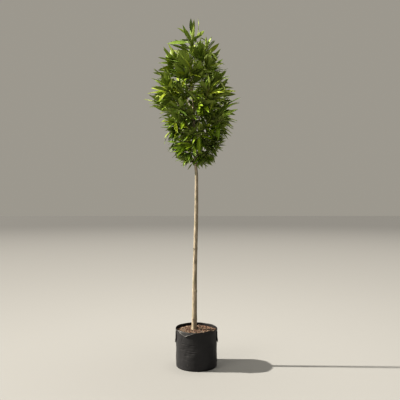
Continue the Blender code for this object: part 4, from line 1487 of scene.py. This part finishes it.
# %% Draw the twigs and buds
STEM_TIP_RADIUS = 0.0028
STEM_LINE_STEPS = 24
STEM_DRAWN, TWIG_DRAWN, FINE_DRAWN = (36, 8, 0), (12, 6, 1), (4, 5, 1)  # steps, columns, finish
TWIG_TAPER, FINE_TAPER = 0.75, 0.7
END_OUT, END_RADIUS = 0.9, 0.4  # a twig's rounded tip, against its thickness there
SWELLING = 0.22
BUD_LENGTH = 5.0 * MM
BUD_OFF = 2.2  # millimetres from the leaf's root, along the leaf
BUD_LEAN = 0.6
BUD_RINGS = ((0.35, 0.32), (0.7, 0.24))  # (along, out) against its length
BUD_COLUMNS = 4
BUD_FANS, BUD_SIDES = lump_faces(BUD_COLUMNS)


def twig_tube(line, foot_radius, tip_radius, steps, columns, knots):
    """A twig with a slight swelling at each knot, and a rounded tip."""
    points, radii = [], []
    for k in range(steps + 1):
        share = k / steps
        swelling = 1 + SWELLING * sum(exp(-(((share - knot) * steps) ** 2)) for knot in knots)
        points.append(place_on(line, share)[0])
        radii.append(between(foot_radius, tip_radius, share) * swelling)
    slope = (points[-1] - points[-2]).normalized()
    points.append(points[-1] + slope * tip_radius * END_OUT)
    radii.append(tip_radius * END_RADIUS)
    return tube(points, radii, columns)


def bud(root, heading, upward):
    """A small pointed egg that leans away from the twig."""
    axis = (heading + upward * BUD_LEAN).normalized()
    side = axis.orthogonal().normalized()
    other = axis.cross(side)
    corners = [root]
    for along, reach in BUD_RINGS:
        for k in range(BUD_COLUMNS):
            turn = FULL_TURN * k / BUD_COLUMNS
            spread = (cos(turn) * side + sin(turn) * other) * reach * BUD_LENGTH
            corners.append(root + axis * along * BUD_LENGTH + spread)
    corners.append(root + axis * BUD_LENGTH)
    return corners


twigs = Gathering()
for mass in masses:
    line = mass.shoot.points(mass.low, 1.0, STEM_LINE_STEPS)
    foot_radius = BOUGH_TIP_RADIUS if mass.low > 0 else mass.shoot.radius
    lines = [(line, foot_radius, STEM_TIP_RADIUS, *STEM_DRAWN)]
    lines += [(twig, TWIG_RADIUS, TWIG_TIP_RADIUS * TWIG_TAPER, *TWIG_DRAWN) for twig in mass.twigs]
    lines += [(twig, FINE_RADIUS, FINE_RADIUS * FINE_TAPER, *FINE_DRAWN) for twig in mass.fine_twigs]
    first_leaves = mass.leaves[: mass.first_fine]
    for spray, (*drawn, kind) in enumerate(lines):
        bears = spray <= len(mass.twigs)
        knots = [leaf[4] for leaf in first_leaves if bears and leaf[5] == spray]
        twigs.add_tube(twig_tube(*drawn, knots), kind)
    for root, heading, face, length, share, spray in first_leaves:
        slope = place_on([mass.stem, *mass.twigs][spray], share)[1]
        twigs.add(bud(root + heading * BUD_OFF * MM, heading, slope), (BUD_FANS, 2), (BUD_SIDES, 2))
twig_finishes = [
    plain_finish("stem_olive", (0.150, 0.130, 0.055), 0.5),
    plain_finish("twig_green", (0.155, 0.175, 0.055), 0.45),
    plain_finish("bud_red", (0.20, 0.085, 0.045), 0.45),
]
foliage_nodes = [f"foliage_{mass.shoot.name}" for mass in masses]
twigs.piece("twigs_and_buds", twig_finishes, foliage_nodes, sharp_angle=50)

# %% [markdown]
# ## A chestnut leaf
# The leaf is a long pointed blade with a straight side vein to every tooth. The mesh follows that: each
# row of its grid runs from the midrib out along a vein to the tip of a tooth, and the next row runs
# to the notch behind it. Rows on veins lie lower than rows between them, which pleats the blade as in
# life. A second skin just under the first, on the same grid, is the paler underside. The midrib is a
# thin tube that comes out of the twig as the leaf's stalk and fades at the tip.

# %% A leaf's grid
FIRST_VEIN, LAST_VEIN = 0.02, 0.955
LAST_TOOTH = 0.992
OUTLINE_RISE, OUTLINE_FALL = 0.75, 1.15
VEIN_SWEEP = 0.105  # how far forward of its foot a vein meets the edge, at the widest place
VEIN_AHEAD, VEIN_BEND = 0.05, 1.15
TOOTH_REACH = 1.05
NOTCH_LAG = 0.24
NOTCH_DEPTH = 0.85
RELIEF_AT = ((0.0, 0.0), (0.25, 0.9), (0.7, 1.0), (1.0, 0.45))


def leaf_outline(share):
    """Half the blade's width, against the widest, at a share of its length: round foot, long point."""
    share = np.clip(share, 0.0, 1.0)
    rise, fall = OUTLINE_RISE, OUTLINE_FALL
    widest = rise / (rise + fall)
    return share**rise * (1 - share) ** fall / (widest**rise * (1 - widest) ** fall)


class LeafGrid:
    """A leaf's corners as (along, out, relief, below, how far out on its row), and the faces on them."""

    def __init__(self, teeth, columns):
        pitch = (LAST_VEIN - FIRST_VEIN) / teeth
        feet = FIRST_VEIN + pitch * np.arange(teeth)
        tips = feet + VEIN_SWEEP * leaf_outline(feet + VEIN_AHEAD)
        notches = between(tips, np.append(tips[1:], LAST_TOOTH), NOTCH_LAG)
        rows = []
        for foot, tip, notch in zip(feet, tips, notches):
            rows.append((foot, tip, leaf_outline(tip) * TOOTH_REACH, -1.0))
            rows.append((foot + pitch / 2, notch, leaf_outline(notch) * NOTCH_DEPTH, 1.0))
        self.corners = []
        upper, lower = {}, {}
        for row, (foot, edge, width, lift) in enumerate(rows):
            for side in (1, -1):
                for column in range(columns + 1):
                    out = column / columns
                    upper[side, row, column] = self.corner(foot, edge, width * side, lift, 0.0, out)
                    below = 1.0 if column < columns else 0.0
                    lower[side, row, column] = self.corner(foot, edge, width * side, lift, below, out)
        self.foot = self.corner(0.0, 0.0, 0.0, 0.0, 0.0, 0.0)
        self.tip = self.corner(1.0, 1.0, 0.0, 0.0, 0.0, 0.0)
        self.data = np.array(self.corners)
        self.top = self.skin(upper, len(rows), columns, 1)
        self.under = self.skin(lower, len(rows), columns, -1)

    def corner(self, foot, edge, width, lift, below, out):
        """A corner's number. Corners on the midrib and the edge are shared, so they are looked up first."""
        relief = lift * np.interp(out, *zip(*RELIEF_AT))
        wanted = (between(foot, edge, out**VEIN_BEND), width * out, relief, below, out)
        if out in (0.0, 1.0) and wanted in self.corners:
            return self.corners.index(wanted)
        self.corners.append(wanted)
        return len(self.corners) - 1

    def skin(self, grid, rows, columns, way):
        """Triangles, cut on the same diagonals in both skins so that they never cross."""
        faces = []
        for side in (1, -1):
            for column in range(columns):
                inner = [grid[side, row, column] for row in range(rows)]
                outer = [grid[side, row, column + 1] for row in range(rows)]
                strip = [(self.foot, inner[0], outer[0]), (inner[-1], self.tip, outer[-1])]
                for row in range(rows - 1):
                    strip.append((inner[row], inner[row + 1], outer[row + 1]))
                    strip.append((inner[row], outer[row + 1], outer[row]))
                faces += strip if side * way > 0 else [face[::-1] for face in strip]
        return np.array(faces)


LARGE, MIDDLE, SMALL = LeafGrid(12, 3), LeafGrid(9, 2), LeafGrid(6, 2)
for name, grid in (("large", LARGE), ("middle", MIDDLE), ("small", SMALL)):
    print(f"{name} leaf: {len(grid.top) + len(grid.under)} triangles")

# %% [markdown]
# Every leaf bends its grid its own way. It arches along its length and the tip stays where the rule put
# it, the two halves fold up from the midrib, the edge waves, and the blade twists a little. The numbers
# for that are drawn from a seed, leaf by leaf.

# %% Bend a leaf and gather it
LARGE_FROM, MIDDLE_FROM = 0.150, 0.100
PLEAT = 0.0085  # height of the pleats against the leaf's length
SKIN_GAP = 0.75 * MM
STALK_SPLIT = 0.12  # shorter leaves have the longer stalks, against their length
STALKS, SHORT_LEAF_STALKS = (0.085, 0.11), (0.10, 0.14)
BENDS = {  # how far every leaf may differ, against its length or in radians; drawn in this order
    "arch": (0.018, 0.070),
    "fold": (0.06, 0.34),
    "curl": (0.0, 0.10),
    "wave": (0.004, 0.012),
    "waves": (1.6, 3.4),
    "phase": (0, FULL_TURN),
    "twist": (-0.30, 0.30),
    "bow": (-0.035, 0.035),
    "width": (0.62, 0.84),
}
RIB_STEPS = 8
RIB_END = 0.965
RIB_RADII = (1.40 * MM, 0.45 * MM)
RIB_TAPER, RIB_GROWTH = 0.8, 0.5  # how fast it thins, and how much a longer leaf's is thicker
RIB_CORNERS = ((0.9, 0.5), (-0.9, 0.5), (0.0, -1.6))
RIB_FACES = grid_faces(RIB_STEPS + 1, 3)
RIB_ENDS = [(0, 1, 2), (RIB_STEPS * 3 + 2, RIB_STEPS * 3 + 1, RIB_STEPS * 3)]


def midline(along, bend):
    """How far the leaf's middle line runs sideways of the straight one from root to tip, and over it."""
    arch = 4 * along * (1 - along)
    return bend["bow"] * arch, bend["arch"] * arch - BLADE_DROOP * along**2


def blade_corners(grid, bend, length):
    share, out, relief, below, reach = grid.data.T
    along = between(bend["stalk"], 1.0, share)
    half_width = BLADE_WIDTH_SHARE / 2 * bend["width"]
    across = out * half_width
    rise = bend["fold"] * np.abs(across) - bend["curl"] * across**2 / half_width
    rise += bend["wave"] * reach**2 * np.sin(FULL_TURN * bend["waves"] * along + bend["phase"] + np.sign(out))
    rise += PLEAT * relief - below * SKIN_GAP / length
    turn = bend["twist"] * along
    bow, height = midline(along, bend)
    sideways = across * np.cos(turn) - rise * np.sin(turn) + bow
    return np.stack([along, sideways, across * np.sin(turn) + rise * np.cos(turn) + height], axis=1) * length


def rib_corners(bend, length):
    """The stalk and midrib: a thin three-sided tube from inside the twig to near the tip."""
    corners = []
    for k in range(RIB_STEPS + 1):
        along = RIB_END * (k / RIB_STEPS)
        radius = between(*RIB_RADII, (k / RIB_STEPS) ** RIB_TAPER)
        radius *= (length / BLADE_LENGTH) ** RIB_GROWTH
        bow, height = midline(along, bend)
        for side, up in RIB_CORNERS:
            corners.append((along * length, bow * length + side * radius, height * length + up * radius))
    return np.array(corners)


def add_leaf(gathering, draw, leaf, kinds):
    """Puts one leaf in its place: its own axes are its heading, its left side and its upper face."""
    root, heading, face, length, _, _ = leaf
    bend = {"stalk": draw.uniform(*(STALKS if length > STALK_SPLIT else SHORT_LEAF_STALKS))}
    bend.update((name, draw.uniform(*limits)) for name, limits in BENDS.items())
    grid = LARGE if length > LARGE_FROM else MIDDLE if length > MIDDLE_FROM else SMALL
    axes = np.array([heading, face.cross(heading), face])
    top, under, rib = kinds
    place = blade_corners(grid, bend, length) @ axes + np.array(root)
    gathering.add(place, (grid.top, top), (grid.under, under))
    gathering.add(rib_corners(bend, length) @ axes + np.array(root), (RIB_FACES, rib), (RIB_ENDS, rib))


# %% [markdown]
# ## Colours, dealt by spray
# The crown isn't one green. Leaves low and inside are deep green, partly for their age and partly as
# painted shade; those further out and up are lighter, partly fresher and partly painted light; and the
# tufts at the tips are still yellow green. The leaves of one twig share a colour, drawn from the seed with
# the odds set by how high and how far out the twig is, and some are a step off it.

# %% Leaf colours
SPRAY_GREENS = {
    "deep": (0.044, 0.084, 0.003),
    "dark": (0.071, 0.126, 0.004),
    "mid": (0.119, 0.199, 0.006),
    "bright": (0.174, 0.262, 0.008),
    "olive": (0.198, 0.252, 0.010),
}
FRESH_GREENS = {"fresh": (0.240, 0.312, 0.014), "lime": (0.300, 0.372, 0.022)}
UNDERSIDES = {"pale": (0.180, 0.232, 0.050), "pale_fresh": (0.225, 0.285, 0.050)}
RIBS = {"rib": (0.250, 0.300, 0.080)}
LEAF_FINISHES = (  # colours, roughness, specular level
    (SPRAY_GREENS | FRESH_GREENS, 0.54, 0.32),
    (UNDERSIDES, 0.62, 0.18),
    (RIBS, 0.45, 0.5),
)
RANKS = list(SPRAY_GREENS)
# Out and up the greens grow lighter: partly fresher leaves, partly painted light; inside, painted shade.
INMOST_RANK, RANKS_OUT = 0.6, 2.6  # the middle green inside, and how many steps fresher it is outside
RANK_STEPS = (-1, 0, 0, 1)  # from a spray's green to a leaf's
YOUNG_ODDS = {  # the odds of a young leaf's green, and by which power of the outness they grow
    "mid": (1.2, 0), "bright": (1.6, 0), "olive": (1.2, 0), "fresh": (2.2, 2), "lime": (1.4, 4),
}

leaf_finishes = []
KIND = {}
for colours, roughness, specular in LEAF_FINISHES:
    for name, colour in colours.items():
        KIND[name] = len(leaf_finishes)
        leaf_finishes.append(plain_finish(f"leaf_{name}", colour, roughness, specular))


def ranked_green(rank):
    return RANKS[min(len(RANKS) - 1, max(0, rank))]


def spray_green(draw, outness):
    """A green for one spray: the further out and up it is, the fresher and lighter, partly as painted light.
    """
    return ranked_green(round(draw.gauss(INMOST_RANK + RANKS_OUT * outness, 1.0)))


def leaf_green(draw, green):
    """One leaf's green: its spray's, or for some leaves of the spray the next darker or lighter."""
    return ranked_green(RANKS.index(green) + draw.choice(RANK_STEPS)) if green in RANKS else green


def young_green(draw, outness):
    odds = [odd * outness**power for odd, power in YOUNG_ODDS.values()]
    return draw.choices(list(YOUNG_ODDS), odds)[0]


# %% Join the leaves
COLOUR_SEED = 79
LEAF_PIECES = 5
FAR_OUT, FAR_UP = 0.25, 1.2  # metres from the stem, and over the crown's foot
OUT_WEIGHT, UP_WEIGHT = 0.6, 0.4
TUFT_FROM, YOUNG_FROM = 0.9, 0.88  # shares of the bearer from which leaves are young
YOUNG_CHANCE = 0.5


def outness(tip):
    """How far out and up in the crown a twig's tip is, up to 1."""
    distance = off_stem(tip)[0]
    return min(1.0, distance / FAR_OUT * OUT_WEIGHT + UP_WEIGHT * (tip.z - CROWN_FOOT) / FAR_UP)


draw = random.Random(COLOUR_SEED)
ordered = sorted(masses, key=lambda mass: mass.centre.z)
total = sum(len(mass.leaves) for mass in ordered)
piles = [[] for _ in range(LEAF_PIECES)]
seen = 0
for mass in ordered:
    piles[min(LEAF_PIECES - 1, seen * LEAF_PIECES // total)].append(mass)
    seen += len(mass.leaves)
for number, pile in enumerate(piles):
    leaves = Gathering()
    for mass in pile:
        outs = [outness(bearer[-1]) for bearer in (mass.stem, *mass.twigs)]
        sprays = [spray_green(draw, out) for out in outs]
        tufts = [young_green(draw, out) for out in outs]
        for index, leaf in enumerate(mass.leaves):
            *_, share, spray = leaf
            in_tuft = index >= mass.first_fine and share > TUFT_FROM
            young = in_tuft or share > YOUNG_FROM and draw.random() < YOUNG_CHANCE
            green = leaf_green(draw, tufts[spray] if young else sprays[spray])
            under = "pale_fresh" if green in FRESH_GREENS else "pale"
            add_leaf(leaves, draw, leaf, (KIND[green], KIND[under], KIND["rib"]))
    nodes = [f"foliage_{mass.shoot.name}" for mass in pile]
    leaves.piece(f"leaves_{number + 1}", leaf_finishes, nodes, sharp_angle=75)
